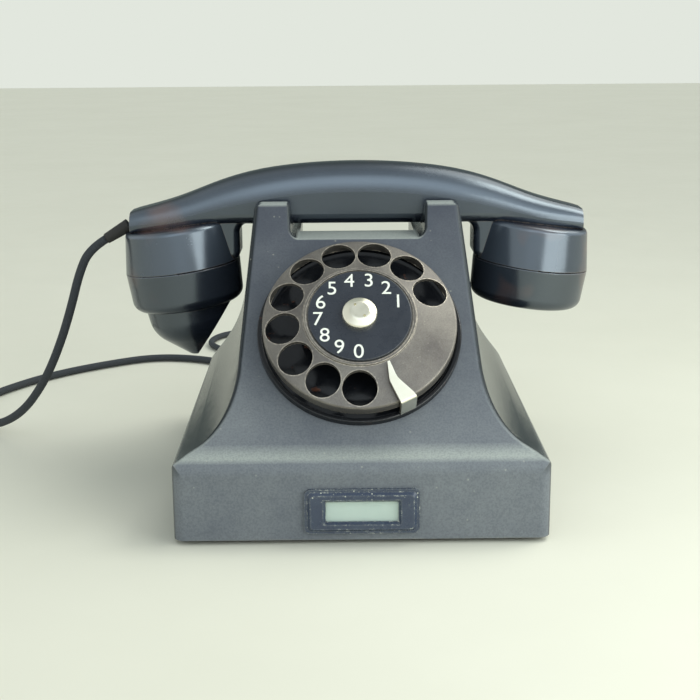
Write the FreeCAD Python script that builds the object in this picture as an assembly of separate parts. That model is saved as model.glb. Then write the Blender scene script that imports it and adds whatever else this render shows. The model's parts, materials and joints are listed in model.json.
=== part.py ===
"""Desk telephone with a finger-wheel dial: casing, dial, cradle switch, bell and handset, in millimetres."""
import FreeCAD, Part
import math
import os

V = FreeCAD.Vector

# Casing
BASE_W = 146.0
BASE_D = 170.0
FOOT_H = 2.0
FOOT_R = 8.0
FOOT_INSET = 15.0
PLINTH_TOP = 32.2
PLINTH_CORNER_R = 4.5
PLINTH_EDGE_R = 3.5
PLINTH_FRONT_R = 6.0
TOWER_TOP = 120.5
TOWER_HALF_W = 45.25
TOWER_DRAFT = 0.1325
TOWER_WIDENING = 0.05
SIDE_FLARE_ANGLE = 23.0
SIDE_FLARE_R = 29.0
REAR_SIDE_ANGLE = 56.0
REAR_SIDE_R = 80.0
FRONT_FLARE_ANGLE = 20.0
FRONT_FLARE_R = 13.0
REAR_LEAN = 7.0
REAR_FLARE_ANGLE = 50.0
REAR_FLARE_R = 45.0
TOP_EDGE_R = 4.0
SLOPE_EDGE_R = 2.5
WALL = 3.2
BASE_PLATE_T = 2.0
FIT_GAP = 0.3
BOSS_R = 4.6
BOSS_H = 20.0
BOSS_SETBACK = 27.0
SCREW_R = 1.5
SCREW_LEN = 14.0
THREAD_GAP = 0.05
TAP_LEN = 8.0
TAP_GAP = 1.0
HEAD_H = 2.0
HEAD_R = 2.8
SLOT_W = 0.8
SLOT_D = 0.8

# Cradle
CRADLE_SETBACK = 114.0
TROUGH_HALF_D = 15.5
TROUGH_FLARE = 3.0
SADDLE_Z = 109.5
REST_GAP = 0.3
PRONG_INNER = 28.4
NOTCH_Z = 107.2
NOTCH_R = 4.0
NOTCH_EDGE_R = 1.5
WELL_HALF_W = 25.0
WELL_Z = 95.0

# Dial
DIAL_SETBACK = 36.8
DIAL_Z = 79.9
DIAL_TILT = 43.5
FACE_DROP = 9.9
WHEEL_R = 39.0
WHEEL_SKIRT = 4.5
WHEEL_T = 1.3
WHEEL_RISE = 4.3
WHEEL_HUB_R = 21.5
HOLE_CIRCLE_R = 31.0
HOLE_R = 6.9
HOLE_COUNT = 10
FIRST_HOLE_ANGLE = 66.6
HOLE_PITCH = 27.32
NUMBER_DISC_R = 20.65
NUMBER_DISC_T = 1.2
NUT_R = 7.0
NUT_H = 3.6
NUT_HOLE_R = 0.55
NUT_HOLE_SPACING = 6.4
STOP_ANGLE = 153.0
STOP_W = 7.0
STOP_T = 1.2
STOP_TIP_R = 23.9
STOP_TIP_W = 1.0
STOP_CURVE = 3.3
STOP_LIFT = 1.6
STOP_TIP_LIFT = 4.8
CASE_R = 40.2
CASE_WALL = 0.8
CASE_LIP_R = 41.3
CASE_LIP_H = 2.9
CASE_DEPTH = 24.0
CASE_FLOOR_T = 2.0
LOCK_RING_R = 42.5
LOCK_RING_T = 2.5
TROUGH_T = 1.5
TROUGH_DROP = 8.0
SHAFT_R = 3.0
RUN_GAP = 0.05
GEAR_MODULE = 0.7
GEAR_TEETH = 60
PINION_TEETH = 12
GOVERNOR_TEETH = 10
GEAR_T = 2.0
GEAR_BELOW_CASE = 2.5
MESH_GAP = 0.15
BACK_PLATE_BELOW_CASE = 15.0
BACK_PLATE_T = 2.0
BACK_PLATE_R = 34.0
PILLAR_R = 2.5
PILLAR_ANGLES = (90, 150, 270, 330)
SPINDLE_R = 1.5
IMPULSE_ANGLE = 30.0
GOVERNOR_ANGLE = 210.0
CAM_R = 5.5
CAM_T = 2.0
CAM_BELOW_CASE = 8.0
DRUM_R = 10.5
DRUM_H = 6.0
DRUM_WALL = 1.0
WEIGHT_REACH = 8.6
WEIGHT_R = 2.0
WEIGHT_T = 2.5
BLADE_L = 18.0
BLADE_T = 0.6
BLADE_STEP = 1.8
CONTACT_BLOCK_W = 5.0
CONTACT_BLOCK_D = 7.0
CONTACT_BLOCK_H = 13.0
SPRING_R = 8.0
SPRING_WIRE = 1.2
SPRING_PITCH = 1.7
SPRING_TURNS = 3

# Card holder
CARD_FRAME_W = 44.4
CARD_FRAME_H = 18.0
CARD_FRAME_T = 2.6
CARD_FRAME_Z = 13.9
CARD_FRAME_STEP = 2.2
CARD_BEVEL = 1.0
CARD_CORNER_R = 2.6
WINDOW_CORNER_R = 0.8
CARD_WINDOW_W = 28.0
CARD_WINDOW_H = 8.0
CARD_LAP = 2.0
CARD_T = 0.4
GLASS_T = 0.7

# Cradle switch
PLUNGER_X = 35.5
PLUNGER_R = 2.5
PLUNGER_LEN = 21.0
PLUNGER_DOWN = 0.3
GUIDE_R = 4.0
GUIDE_H = 5.0
LEVER_W = 6.0
LEVER_T = 3.0
LEVER_REACH = 17.0
LEVER_PIN_R = 1.5
LEVER_BAR = 3.0
LEVER_WEB_T = 2.6
BRACKET_X = 20.0
BRACKET_T = 2.5
BRACKET_REACH = 9.0
SWITCH_BLOCK_W = 16.0
SWITCH_BLOCK_D = 4.0
SWITCH_BLOCK_H = 9.0
SWITCH_BLADE_L = 17.0
SWITCH_BLADE_W = 2.0
SWITCH_BLADE_T = 0.4
SWITCH_BLADE_STEP = 3.4
SWITCH_BLADE_COUNT = 4

# Bell
GONG_R = 22.0
GONG_H = 13.0
GONG_T = 1.4
GONG_X = 27.0
GONG_Y = 36.0
GONG_Z = 32.0
POST_R = 3.5
COIL_R = 8.0
COIL_LEN = 22.0
COIL_X = 11.0
COIL_Y = -10.0
COIL_Z = 22.0
CORE_R = 3.0
CORE_PROUD = 2.0
YOKE_T = 3.0
YOKE_W = 42.0
ARMATURE_GAP = 1.6
ARMATURE_T = 2.0
ARMATURE_W = 36.0
CLAPPER_R = 3.0
CLAPPER_PIN_R = 1.5

# Circuit pieces on the base plate
INDUCTION_W = 18.0
INDUCTION_L = 46.0
INDUCTION_X = -49.0
INDUCTION_Y = -18.0
CAPACITOR_W = 20.0
CAPACITOR_L = 42.0
CAPACITOR_H = 24.0
CAPACITOR_X = 49.0
CAPACITOR_Y = -18.0
TERMINAL_W = 54.0
TERMINAL_D = 12.0
TERMINAL_H = 12.0
TERMINAL_SETBACK = 17.0
TERMINAL_COUNT = 6

# Handset
HANDSET_HALF_L = 104.6
HANDLE_W = 27.0
HANDLE_TOP = 136.4
HANDLE_TIP_TOP = 114.8
HANDLE_TIP_DROP = 4.5
HANDLE_TIP_TAPER = 6.0
CUP_X = 78.8
CUP_R = 26.0
CUP_SHOULDER_R = 23.2
CUP_TILT = 7.5
CUP_SHOULDER_Z = 108.5
CUP_H = 18.5
CUP_EDGE_R = 2.5
NECK_REACH = 26.6
NECK_DROP = 15.0
NECK_W = 21.0
NECK_R = 4.0
NECK_EDGE_R = 3.5
CAP_H = 19.0
CAP_EDGE_R = 5.0
CAP_WALL = 3.0
CAP_FACE_T = 3.0
CAPSULE_GAP = 0.4
CAPSULE_H = 15.0
CAPSULE_SEAT = 1.6
LEAF_X = 7.0
LEAF_W = 4.0
LEAF_L = 16.0
LEAF_T = 0.6
LEAF_POST = 3.0
EAR_HOLE_R = 1.6
EAR_HOLE_CIRCLE = 8.0
EAR_HOLE_COUNT = 6
EAR_DISH_R = 17.0
EAR_DISH_DEPTH = 1.6
HORN_BASE_R = 20.0
HORN_LEN = 22.6
HORN_WALL = 2.0
HORN_TIP_R = 3.0
HORN_CUT_TOP = 19.0
HORN_CUT_TIP = -1.5

# Cords
CORD_D = 4.0
LINE_D = 3.6
GLAND_Z = 13.0
HANDSET_GLAND_X = -28.0
LINE_GLAND_X = 4.0
GLAND_PROUD = 2.5
GLAND_LIP = 1.6
SLEEVE_D = 6.0
SLEEVE_LEN = 12.0
COIL_MID_D = 42.0
COIL_TURNS_PER_LAYER = 4
COIL_STEP = 4.7
COIL_LAYER = 4.3
COIL_CENTRE_X = 45.0
COIL_CENTRE_Y = 157.0
COIL_TAIL = 21.0
PLUG_BODY_L = 24.0
PLUG_NECK_L = 8.0
PLUG_PIN_R = 1.5
PLUG_PIN_L = 10.0
PLUG_PIN_SPACING = 6.0
TIE_W = 6.0
TIE_T = 0.4
TIE_GAP = 0.4

# Places worked out from the driving sizes
HALF_W = BASE_W / 2
FRONT_Y = -BASE_D / 2
REAR_Y = BASE_D / 2
FLOOR_Z = FOOT_H + BASE_PLATE_T
BOSS_Y = REAR_Y - BOSS_SETBACK
TERMINAL_Y = REAR_Y - TERMINAL_SETBACK
DIAL_Y = FRONT_Y + DIAL_SETBACK
HANDSET_Y = FRONT_Y + CRADLE_SETBACK
LEVER_PIVOT_Y = HANDSET_Y + LEVER_REACH
GEAR_DROP = CASE_DEPTH + GEAR_BELOW_CASE
CAM_DROP = CASE_DEPTH + CAM_BELOW_CASE
BACK_PLATE_DROP = CASE_DEPTH + BACK_PLATE_BELOW_CASE
BETA = math.radians(DIAL_TILT)
DIAL_AXIS = V(0, -math.cos(BETA), math.sin(BETA))
DIAL_UP = V(0, math.sin(BETA), math.cos(BETA))
SLOPE_RATE = math.cos(BETA) / math.sin(BETA)
GEAR_R = GEAR_MODULE * GEAR_TEETH / 2
PINION_R = GEAR_MODULE * PINION_TEETH / 2
GOVERNOR_R = GEAR_MODULE * GOVERNOR_TEETH / 2


def xy(u, v):
    return V(u, v, 0)


def yz(u, v):
    return V(0, u, v)


def xz(u, v):
    return V(u, 0, v)


def arc_edge(start, middle, end):
    return Part.Arc(start, middle, end).toShape()


def corner(before, point, after, radius):
    """Start, middle and end of the arc that rounds a corner, or the corner itself where it stays sharp."""
    into = (point - before).normalize()
    out = (after - point).normalize()
    turn = into.getAngle(out)
    if radius <= 0 or turn < 1e-6:
        return [point]
    reach = radius * math.tan(turn / 2)
    inward = (out - into).normalize()
    middle = point + inward * (radius / math.cos(turn / 2) - radius)
    return [point - into * reach, middle, point + out * reach]


def outline(points, plane=xy):
    """Closed wire through (u, v, radius) corners."""
    spots = [plane(p[0], p[1]) for p in points]
    count = len(spots)
    corners = [corner(spots[i - 1], spots[i], spots[(i + 1) % count], points[i][2]) for i in range(count)]
    edges = []
    for i, here in enumerate(corners):
        following = corners[(i + 1) % count]
        if len(here) == 3:
            edges.append(arc_edge(*here))
        if (following[0] - here[-1]).Length > 1e-6:
            edges.append(Part.LineSegment(here[-1], following[0]).toShape())
    return Part.Wire(edges)


def prism(points, along, plane=xy):
    return Part.Face(outline(points, plane)).extrude(along)


def box(low, high):
    return Part.makeBox(high[0] - low[0], high[1] - low[1], high[2] - low[2], V(*low))


def rod(radius, length, base, axis=V(0, 0, 1)):
    return Part.makeCylinder(radius, length, base, axis)


def tube(outer, inner, length, base, axis=V(0, 0, 1)):
    return rod(outer, length, base, axis).cut(rod(inner, length, base, axis))


def turned(points):
    """Solid turned about Z from (radius, height, corner radius) points."""
    return Part.Face(outline(points, xz)).revolve(V(0, 0, 0), V(0, 0, 1), 360)


def fuse(shapes):
    return shapes[0].multiFuse(list(shapes[1:])).removeSplitter()


def on_dial(shape):
    """Carry a shape from the dial's own frame, with Z out of its face, to its place on the slope."""
    frame = FreeCAD.Matrix(1, 0, 0, 0,
                           0, DIAL_UP.y, DIAL_AXIS.y, DIAL_Y,
                           0, DIAL_UP.z, DIAL_AXIS.z, DIAL_Z,
                           0, 0, 0, 1)
    placed = shape.copy()
    placed.Placement = FreeCAD.Placement(frame).multiply(placed.Placement)
    return placed


def clock(radius, angle, height=0.0):
    """Point in the dial's frame, by its angle clockwise from the top."""
    turn = math.radians(angle)
    return V(radius * math.sin(turn), radius * math.cos(turn), height)


# Casing


def side_form(inset, y, lift, flare_angle, flare_r):
    """Outline across the telephone at a depth. A lifted form is taller by that much, with a sharp top."""
    half = HALF_W - inset
    shift = TOWER_WIDENING * (y - HANDSET_Y) - inset / math.cos(math.atan(TOWER_DRAFT))
    top = TOWER_TOP - inset + lift
    top_half = TOWER_HALF_W + shift + TOWER_DRAFT * (inset - lift)
    rise = math.tan(math.radians(flare_angle))
    edge_z = PLINTH_TOP - inset
    foot = TOWER_HALF_W + shift + TOWER_DRAFT * TOWER_TOP
    knee_z = (edge_z + rise * (half - foot)) / (1 - rise * TOWER_DRAFT)
    knee = foot - TOWER_DRAFT * knee_z
    right = [(half, FOOT_H, 0), (half, edge_z, PLINTH_EDGE_R - inset), (knee, knee_z, flare_r),
             (top_half, top, 0 if lift else TOP_EDGE_R)]
    left = [(-x, z, r) for x, z, r in reversed(right)]
    return outline(right + left, lambda u, v: V(u, y, v))


def slope_y(z, depth=0.0):
    """Depth of the sloped face at a height, or of a plane parallel to it inside the casing."""
    face_y = DIAL_Y - FACE_DROP * DIAL_AXIS.y
    face_z = DIAL_Z - FACE_DROP * DIAL_AXIS.z
    return face_y + (z - face_z) / SLOPE_RATE + depth / math.cos(BETA)


def front_form(inset, lift):
    """Outline seen from the side: plinth, flare, slope, top and rear, lifted as the one across is."""
    rise = math.tan(math.radians(FRONT_FLARE_ANGLE))
    front = FRONT_Y + inset
    rear = REAR_Y - inset
    edge_z = PLINTH_TOP - inset
    start = slope_y(edge_z, inset) - front
    knee_y = front + start / (1 - rise / SLOPE_RATE)
    knee_z = edge_z + rise * (knee_y - front)
    top = TOWER_TOP - inset + lift
    top_r = 0 if lift else TOP_EDGE_R
    lean = math.tan(math.radians(REAR_LEAN))
    rear_top = 2 * HANDSET_Y - slope_y(TOWER_TOP) - inset - lean * lift
    rear_rise = math.tan(math.radians(REAR_FLARE_ANGLE))
    rear_foot = rear_top + lean * (top - edge_z)
    reach = (rear - rear_foot) / (1 - lean * rear_rise)
    half_turn = math.radians(90 - REAR_FLARE_ANGLE - REAR_LEAN) / 2
    flank = math.hypot(reach, rear_rise * reach) - PLINTH_EDGE_R
    rear_flare_r = min(REAR_FLARE_R, flank / math.tan(half_turn))
    return [(front, FOOT_H, 0), (front, edge_z, PLINTH_FRONT_R - inset),
            (knee_y, knee_z, FRONT_FLARE_R - inset),
            (slope_y(top, inset), top, top_r), (rear_top, top, top_r),
            (rear - reach, edge_z + rear_rise * reach, rear_flare_r), (rear, edge_z, PLINTH_EDGE_R - inset),
            (rear, FOOT_H, 0)]


def tower_form(inset, lift=0.0):
    """What the outline across and the one from the side have in common."""
    front = side_form(inset, FRONT_Y, lift, SIDE_FLARE_ANGLE, SIDE_FLARE_R)
    rear = side_form(inset, REAR_Y, lift, REAR_SIDE_ANGLE, REAR_SIDE_R)
    across = Part.makeLoft([front, rear], True, True)
    profile = prism(front_form(inset, lift), V(BASE_W, 0, 0), yz)
    profile.translate(V(-HALF_W, 0, 0))
    return across.common(profile)


def casing_form(inset):
    """The casing's form with sharp edges round its slope, or the hollow inside it at a wall's inset."""
    half, deep = HALF_W - inset, BASE_D / 2 - inset
    round_r = PLINTH_CORNER_R - inset
    plan = [(-half, -deep, round_r), (half, -deep, round_r), (half, deep, round_r), (-half, deep, round_r)]
    column = prism(plan, V(0, 0, TOWER_TOP))
    column.translate(V(0, 0, FOOT_H))
    return tower_form(inset).common(column)


def cradle_space(grow):
    """The trough for the handle with its front notch and open well, grown by a wall where asked."""
    half = TROUGH_HALF_D + grow
    rim = half + TROUGH_FLARE
    above = TOWER_TOP + 2 * WALL
    floor = SADDLE_Z - grow
    trough = prism([(HANDSET_Y - half, floor, NOTCH_R), (HANDSET_Y + half, floor, NOTCH_R),
                    (HANDSET_Y + rim, above, 0), (HANDSET_Y - rim, above, 0)], V(BASE_W, 0, 0), yz)
    trough.translate(V(-HALF_W, 0, 0))
    notch_half = PRONG_INNER + grow
    notch = prism([(-notch_half, NOTCH_Z - grow, NOTCH_R), (notch_half, NOTCH_Z - grow, NOTCH_R),
                   (notch_half + TROUGH_FLARE / 2, above, 0), (-notch_half - TROUGH_FLARE / 2, above, 0)],
                  V(0, BASE_D, 0), xz)
    notch.translate(V(0, FRONT_Y, 0))
    well_half = WELL_HALF_W + grow
    well = prism([(-well_half, WELL_Z - grow, NOTCH_R), (well_half, WELL_Z - grow, NOTCH_R),
                  (well_half, above, 0), (-well_half, above, 0)], V(0, BASE_D, 0), xz)
    well.translate(V(0, HANDSET_Y - TROUGH_HALF_D - grow, 0))
    return fuse([trough, notch, well])


def slope_edges(form, low, high, near, far):
    """Edges that lie on the sloped face, between two heights and two distances from the middle."""
    middles = [(edge, edge.CenterOfMass) for edge in form.Edges]
    return [edge for edge, c in middles if abs(slope_y(c.z) - c.y) < THREAD_GAP
            and low < c.z < high and near < abs(c.x) < far]


def outer_form():
    """The casing's outside: its sloped face rounded along the sides, its cradle cut with a soft front rim."""
    lift = 5 * TOP_EDGE_R
    tall = tower_form(0, lift)
    sides = slope_edges(tall, PLINTH_TOP + PLINTH_EDGE_R, TOWER_TOP + lift, TOWER_HALF_W / 2, HALF_W)
    form = tall.makeFillet(SLOPE_EDGE_R, sides).common(casing_form(0)).cut(cradle_space(0))
    rim = slope_edges(form, NOTCH_Z - NOTCH_R, TOWER_TOP - TOP_EDGE_R / 2, -1, PRONG_INNER + TROUGH_FLARE)
    return form.makeFillet(NOTCH_EDGE_R, rim)


def boss_places():
    x = HALF_W - WALL - BOSS_R + FIT_GAP * 2
    return [V(sx * x, sy * BOSS_Y, FLOOR_Z) for sx in (-1, 1) for sy in (-1, 1)]


def make_casing():
    hollow = casing_form(WALL).cut(cradle_space(WALL))
    shell = outer_form().cut(hollow)
    bosses = [rod(BOSS_R, BOSS_H, p).common(casing_form(WALL / 2)) for p in boss_places()]
    shell = fuse([shell] + bosses)
    cutters = [rod(SCREW_R + THREAD_GAP, SCREW_LEN + FIT_GAP, p) for p in boss_places()]
    cutters.append(on_dial(rod(CASE_R + FIT_GAP / 2, 2 * FACE_DROP, V(0, 0, -2 * FACE_DROP))))
    for x in (-PLUNGER_X, PLUNGER_X):
        hole = V(x, HANDSET_Y, SADDLE_Z - WALL - 2 * GUIDE_H)
        cutters.append(rod(GUIDE_R + THREAD_GAP, 2 * WALL + 2 * GUIDE_H, hole))
    for x in (HANDSET_GLAND_X, LINE_GLAND_X):
        cutters.append(rod(gland_neck(x), 3 * WALL, V(x, REAR_Y - 2 * WALL, GLAND_Z), V(0, 1, 0)))
    return shell.cut(fuse(cutters[:4])).cut(cutters[4]).cut(fuse(cutters[5:7])).cut(fuse(cutters[7:]))


def make_base_plate():
    inset = WALL + FIT_GAP
    half, deep, r = HALF_W - inset, BASE_D / 2 - inset, PLINTH_CORNER_R - WALL
    plate = prism([(-half, -deep, r), (half, -deep, r), (half, deep, r), (-half, deep, r)],
                  V(0, 0, BASE_PLATE_T))
    plate.translate(V(0, 0, FOOT_H))
    holes = [Part.makeCone(SCREW_R + BASE_PLATE_T + RUN_GAP, SCREW_R + RUN_GAP, BASE_PLATE_T,
                           p - V(0, 0, BASE_PLATE_T)) for p in boss_places()]
    return plate.cut(fuse(holes))


def make_base_screws():
    screws = []
    for p in boss_places():
        head = Part.makeCone(SCREW_R + BASE_PLATE_T, SCREW_R, BASE_PLATE_T, p - V(0, 0, BASE_PLATE_T))
        screws.append(head.fuse(rod(SCREW_R, SCREW_LEN, p)).removeSplitter())
    return Part.Compound(screws)


def make_feet():
    x, y = HALF_W - FOOT_INSET, BASE_D / 2 - FOOT_INSET
    foot = turned([(0, 0, 0), (FOOT_R - 0.5, 0, 0), (FOOT_R, FOOT_H, 0), (0, FOOT_H, 0)])
    feet = []
    for sx, sy in ((-1, -1), (1, -1), (-1, 1), (1, 1)):
        copy = foot.copy()
        copy.translate(V(sx * x, sy * y, 0))
        feet.append(copy)
    return Part.Compound(feet)


# Card holder


def card_wire(width, height, y, radius):
    """Outline of the holder, or of a step in it, at a depth."""
    half, low, high = width / 2, CARD_FRAME_Z - height / 2, CARD_FRAME_Z + height / 2
    return outline([(-half, low, radius), (half, low, radius), (half, high, radius), (-half, high, radius)],
                   lambda u, v: V(u, y, v))


def card_plate(width, height, thick, y, radius=WINDOW_CORNER_R):
    return Part.Face(card_wire(width, height, y, radius)).extrude(V(0, -thick, 0))


def make_card_frame():
    step = CARD_FRAME_STEP
    flare = 2 * CARD_BEVEL
    base_t = CARD_FRAME_T / 2
    foot_r, crown_r = CARD_CORNER_R * 0.75, CARD_CORNER_R * 0.6
    base = card_plate(CARD_FRAME_W, CARD_FRAME_H, base_t, FRONT_Y, CARD_CORNER_R)
    crown = Part.makeLoft([card_wire(CARD_FRAME_W - step, CARD_FRAME_H - step, FRONT_Y - base_t, foot_r),
                           card_wire(CARD_FRAME_W - 2 * step, CARD_FRAME_H - 2 * step,
                                     FRONT_Y - CARD_FRAME_T, crown_r)], True, True)
    slope = Part.makeLoft([card_wire(CARD_WINDOW_W, CARD_WINDOW_H, FRONT_Y - base_t, 0),
                           card_wire(CARD_WINDOW_W + flare, CARD_WINDOW_H + flare,
                                     FRONT_Y - CARD_FRAME_T, 0)], True, True)
    pocket = card_plate(CARD_WINDOW_W + CARD_LAP, CARD_WINDOW_H + CARD_LAP, CARD_T + GLASS_T, FRONT_Y)
    window = card_plate(CARD_WINDOW_W, CARD_WINDOW_H, base_t, FRONT_Y)
    return fuse([base, crown]).cut(slope).cut(window).cut(pocket)


def make_card():
    return card_plate(CARD_WINDOW_W + CARD_LAP - FIT_GAP, CARD_WINDOW_H + CARD_LAP - FIT_GAP, CARD_T, FRONT_Y)


def make_card_window():
    return card_plate(CARD_WINDOW_W + CARD_LAP - FIT_GAP, CARD_WINDOW_H + CARD_LAP - FIT_GAP, GLASS_T,
                      FRONT_Y - CARD_T)


# Dial


def gear_blank(teeth, thick, start_angle):
    """Spur wheel with straight-flanked teeth, the first tooth at an angle clockwise from the top."""
    pitch_r = GEAR_MODULE * teeth / 2
    tip, root = pitch_r + 0.8 * GEAR_MODULE, pitch_r - 1.1 * GEAR_MODULE
    step = 360.0 / teeth
    spots = []
    for i in range(teeth):
        middle = start_angle + i * step
        for radius, share in ((root, -0.34), (tip, -0.11), (tip, 0.11), (root, 0.34)):
            spots.append(clock(radius, middle + share * step))
    return Part.Face(Part.makePolygon(spots + spots[:1])).extrude(V(0, 0, thick))


def spindle_spot(angle, pitch_r):
    return clock(GEAR_R + pitch_r + MESH_GAP, angle)


def make_pinion(teeth, pitch_r, angle):
    """Pinion on a spindle, with a gap facing the main gear's tooth at that angle."""
    pinion = gear_blank(teeth, GEAR_T, angle + 180 + 180.0 / teeth)
    pinion.translate(spindle_spot(angle, pitch_r) - V(0, 0, GEAR_DROP + GEAR_T))
    return pinion


def make_spindle(angle, pitch_r):
    low = BACK_PLATE_DROP + BACK_PLATE_T / 2
    return rod(SPINDLE_R, low - CASE_DEPTH + CASE_FLOOR_T / 2, spindle_spot(angle, pitch_r) - V(0, 0, low))


def make_dial_case():
    inner = CASE_R - CASE_WALL
    seat = TROUGH_DROP + TROUGH_T
    case = turned([(0, -CASE_DEPTH, 0), (CASE_R, -CASE_DEPTH, 0), (CASE_R, -FACE_DROP, 0),
                   (CASE_LIP_R, -FACE_DROP, 0), (CASE_LIP_R, CASE_LIP_H - FACE_DROP, 0.5),
                   (inner, CASE_LIP_H - FACE_DROP, 0.4), (inner, -seat, 0), (inner - 1.5, -seat, 0),
                   (inner - 1.5, CASE_FLOOR_T - CASE_DEPTH, 0), (0, CASE_FLOOR_T - CASE_DEPTH, 0)])
    depth = V(0, 0, CASE_DEPTH)
    bores = [rod(SHAFT_R + RUN_GAP, 2 * CASE_FLOOR_T, -depth)]
    for angle, pitch_r in ((IMPULSE_ANGLE, PINION_R), (GOVERNOR_ANGLE, GOVERNOR_R)):
        bores.append(rod(SPINDLE_R + RUN_GAP, 2 * CASE_FLOOR_T, spindle_spot(angle, pitch_r) - depth))
    return case.cut(fuse(bores))


def make_lock_ring():
    top = FACE_DROP + WALL
    return tube(LOCK_RING_R, CASE_R + RUN_GAP, LOCK_RING_T, V(0, 0, -top - LOCK_RING_T))


def make_trough_plate():
    rim = CASE_R - CASE_WALL - FIT_GAP
    top = -TROUGH_DROP
    bore = SHAFT_R + 4 * FIT_GAP
    return turned([(bore, top - TROUGH_T, 0), (rim, top - TROUGH_T, 0), (rim, top, 0.3),
                   (HOLE_CIRCLE_R + HOLE_R, top, 1), (HOLE_CIRCLE_R, top - TROUGH_T / 3, 6),
                   (HOLE_CIRCLE_R - HOLE_R, top, 1), (bore, top, 0)])


def make_finger_wheel():
    hub_top, slope_end = WHEEL_RISE, WHEEL_RISE - WHEEL_T
    wheel = turned([(SHAFT_R + RUN_GAP, slope_end, 0), (WHEEL_HUB_R, slope_end, 0),
                    (WHEEL_R - WHEEL_T, -WHEEL_T, 0), (WHEEL_R - WHEEL_T, -WHEEL_SKIRT, 0),
                    (WHEEL_R, -WHEEL_SKIRT, 0.3), (WHEEL_R, 0, 1.0),
                    (WHEEL_HUB_R + 1.2, hub_top, 0), (WHEEL_HUB_R + 1.0, hub_top + 0.7, 0.2),
                    (WHEEL_HUB_R - 0.2, hub_top + 0.7, 0), (WHEEL_HUB_R - 0.2, hub_top, 0),
                    (SHAFT_R + RUN_GAP, hub_top, 0)])
    holes = [rod(HOLE_R, 4 * WHEEL_RISE, clock(HOLE_CIRCLE_R, FIRST_HOLE_ANGLE - i * HOLE_PITCH, -WHEEL_RISE))
             for i in range(HOLE_COUNT)]
    return wheel.cut(Part.Compound(holes))


def make_number_disc():
    top = WHEEL_RISE + NUMBER_DISC_T
    return turned([(SHAFT_R + RUN_GAP, WHEEL_RISE, 0), (NUMBER_DISC_R, WHEEL_RISE, 0),
                   (NUMBER_DISC_R, top, 0.4), (SHAFT_R + RUN_GAP, top, 0)])


def make_centre_nut():
    low = WHEEL_RISE + NUMBER_DISC_T
    cap = turned([(0, low, 0), (NUT_R, low, 0), (NUT_R, low + NUT_H * 0.55, 1.2),
                  (NUT_R * 0.55, low + NUT_H, 3), (0, low + NUT_H, 0)])
    holes = []
    for side in (-1, 1):
        spot = clock(side * NUT_HOLE_SPACING / 2, 145, low + NUT_H / 2)
        holes.append(rod(NUT_HOLE_R, NUT_H, spot))
    return cap.cut(Part.Compound(holes))


def make_dial_shaft():
    low = BACK_PLATE_DROP + BACK_PLATE_T / 2
    return rod(SHAFT_R, low + WHEEL_RISE + NUMBER_DISC_T, V(0, 0, -low))


def make_main_gear():
    blank = gear_blank(GEAR_TEETH, GEAR_T, IMPULSE_ANGLE)
    blank.translate(V(0, 0, -GEAR_DROP - GEAR_T))
    return blank.cut(rod(SHAFT_R + RUN_GAP, 2 * GEAR_T, V(0, 0, -GEAR_DROP - 1.5 * GEAR_T)))


def make_back_plate():
    plate = rod(BACK_PLATE_R, BACK_PLATE_T, V(0, 0, -BACK_PLATE_DROP - BACK_PLATE_T))
    pillar_circle = BACK_PLATE_R - 2 * PILLAR_R
    pillars = [rod(PILLAR_R, BACK_PLATE_DROP - CASE_DEPTH, clock(pillar_circle, angle, -BACK_PLATE_DROP))
               for angle in PILLAR_ANGLES]
    bores = [rod(SHAFT_R + RUN_GAP, 3 * BACK_PLATE_T, V(0, 0, -BACK_PLATE_DROP - 2 * BACK_PLATE_T))]
    for angle, pitch_r in ((IMPULSE_ANGLE, PINION_R), (GOVERNOR_ANGLE, GOVERNOR_R)):
        spot = spindle_spot(angle, pitch_r) - V(0, 0, BACK_PLATE_DROP + 2 * BACK_PLATE_T)
        bores.append(rod(SPINDLE_R + RUN_GAP, 3 * BACK_PLATE_T, spot))
    return fuse([plate] + pillars).cut(Part.Compound(bores))


def make_impulse_cam():
    spot = spindle_spot(IMPULSE_ANGLE, PINION_R) - V(0, 0, CAM_DROP + CAM_T)
    cam = rod(CAM_R, CAM_T, spot)
    side = clock(CAM_R + 1, IMPULSE_ANGLE)
    for sign in (-1, 1):
        cam = cam.cut(rod(CAM_R / 2, 2 * CAM_T, spot + side * sign - V(0, 0, CAM_T / 2)))
    return cam.cut(rod(SPINDLE_R + RUN_GAP, 2 * CAM_T, spot - V(0, 0, CAM_T / 2)))


def bored(shape, angle, pitch_r):
    spot = spindle_spot(angle, pitch_r) - V(0, 0, BACK_PLATE_DROP)
    return shape.cut(rod(SPINDLE_R + RUN_GAP, BACK_PLATE_DROP, spot))


def make_governor_weights():
    spot = spindle_spot(GOVERNOR_ANGLE, GOVERNOR_R) - V(0, 0, BACK_PLATE_DROP - WEIGHT_R)
    reach = WEIGHT_REACH - WEIGHT_R
    half = SPINDLE_R - FIT_GAP
    bar = box((-reach, -half, 0), (reach, half, WEIGHT_T))
    bobs = [rod(WEIGHT_R, WEIGHT_T, V(s * reach, 0, 0)) for s in (-1, 1)]
    arm = fuse([bar, rod(SPINDLE_R + DRUM_WALL, WEIGHT_T, V(0, 0, 0))] + bobs)
    arm.translate(spot)
    return bored(arm, GOVERNOR_ANGLE, GOVERNOR_R)


def make_governor_drum():
    spot = spindle_spot(GOVERNOR_ANGLE, GOVERNOR_R) - V(0, 0, BACK_PLATE_DROP)
    return tube(DRUM_R, DRUM_R - DRUM_WALL, DRUM_H, spot)


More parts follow.
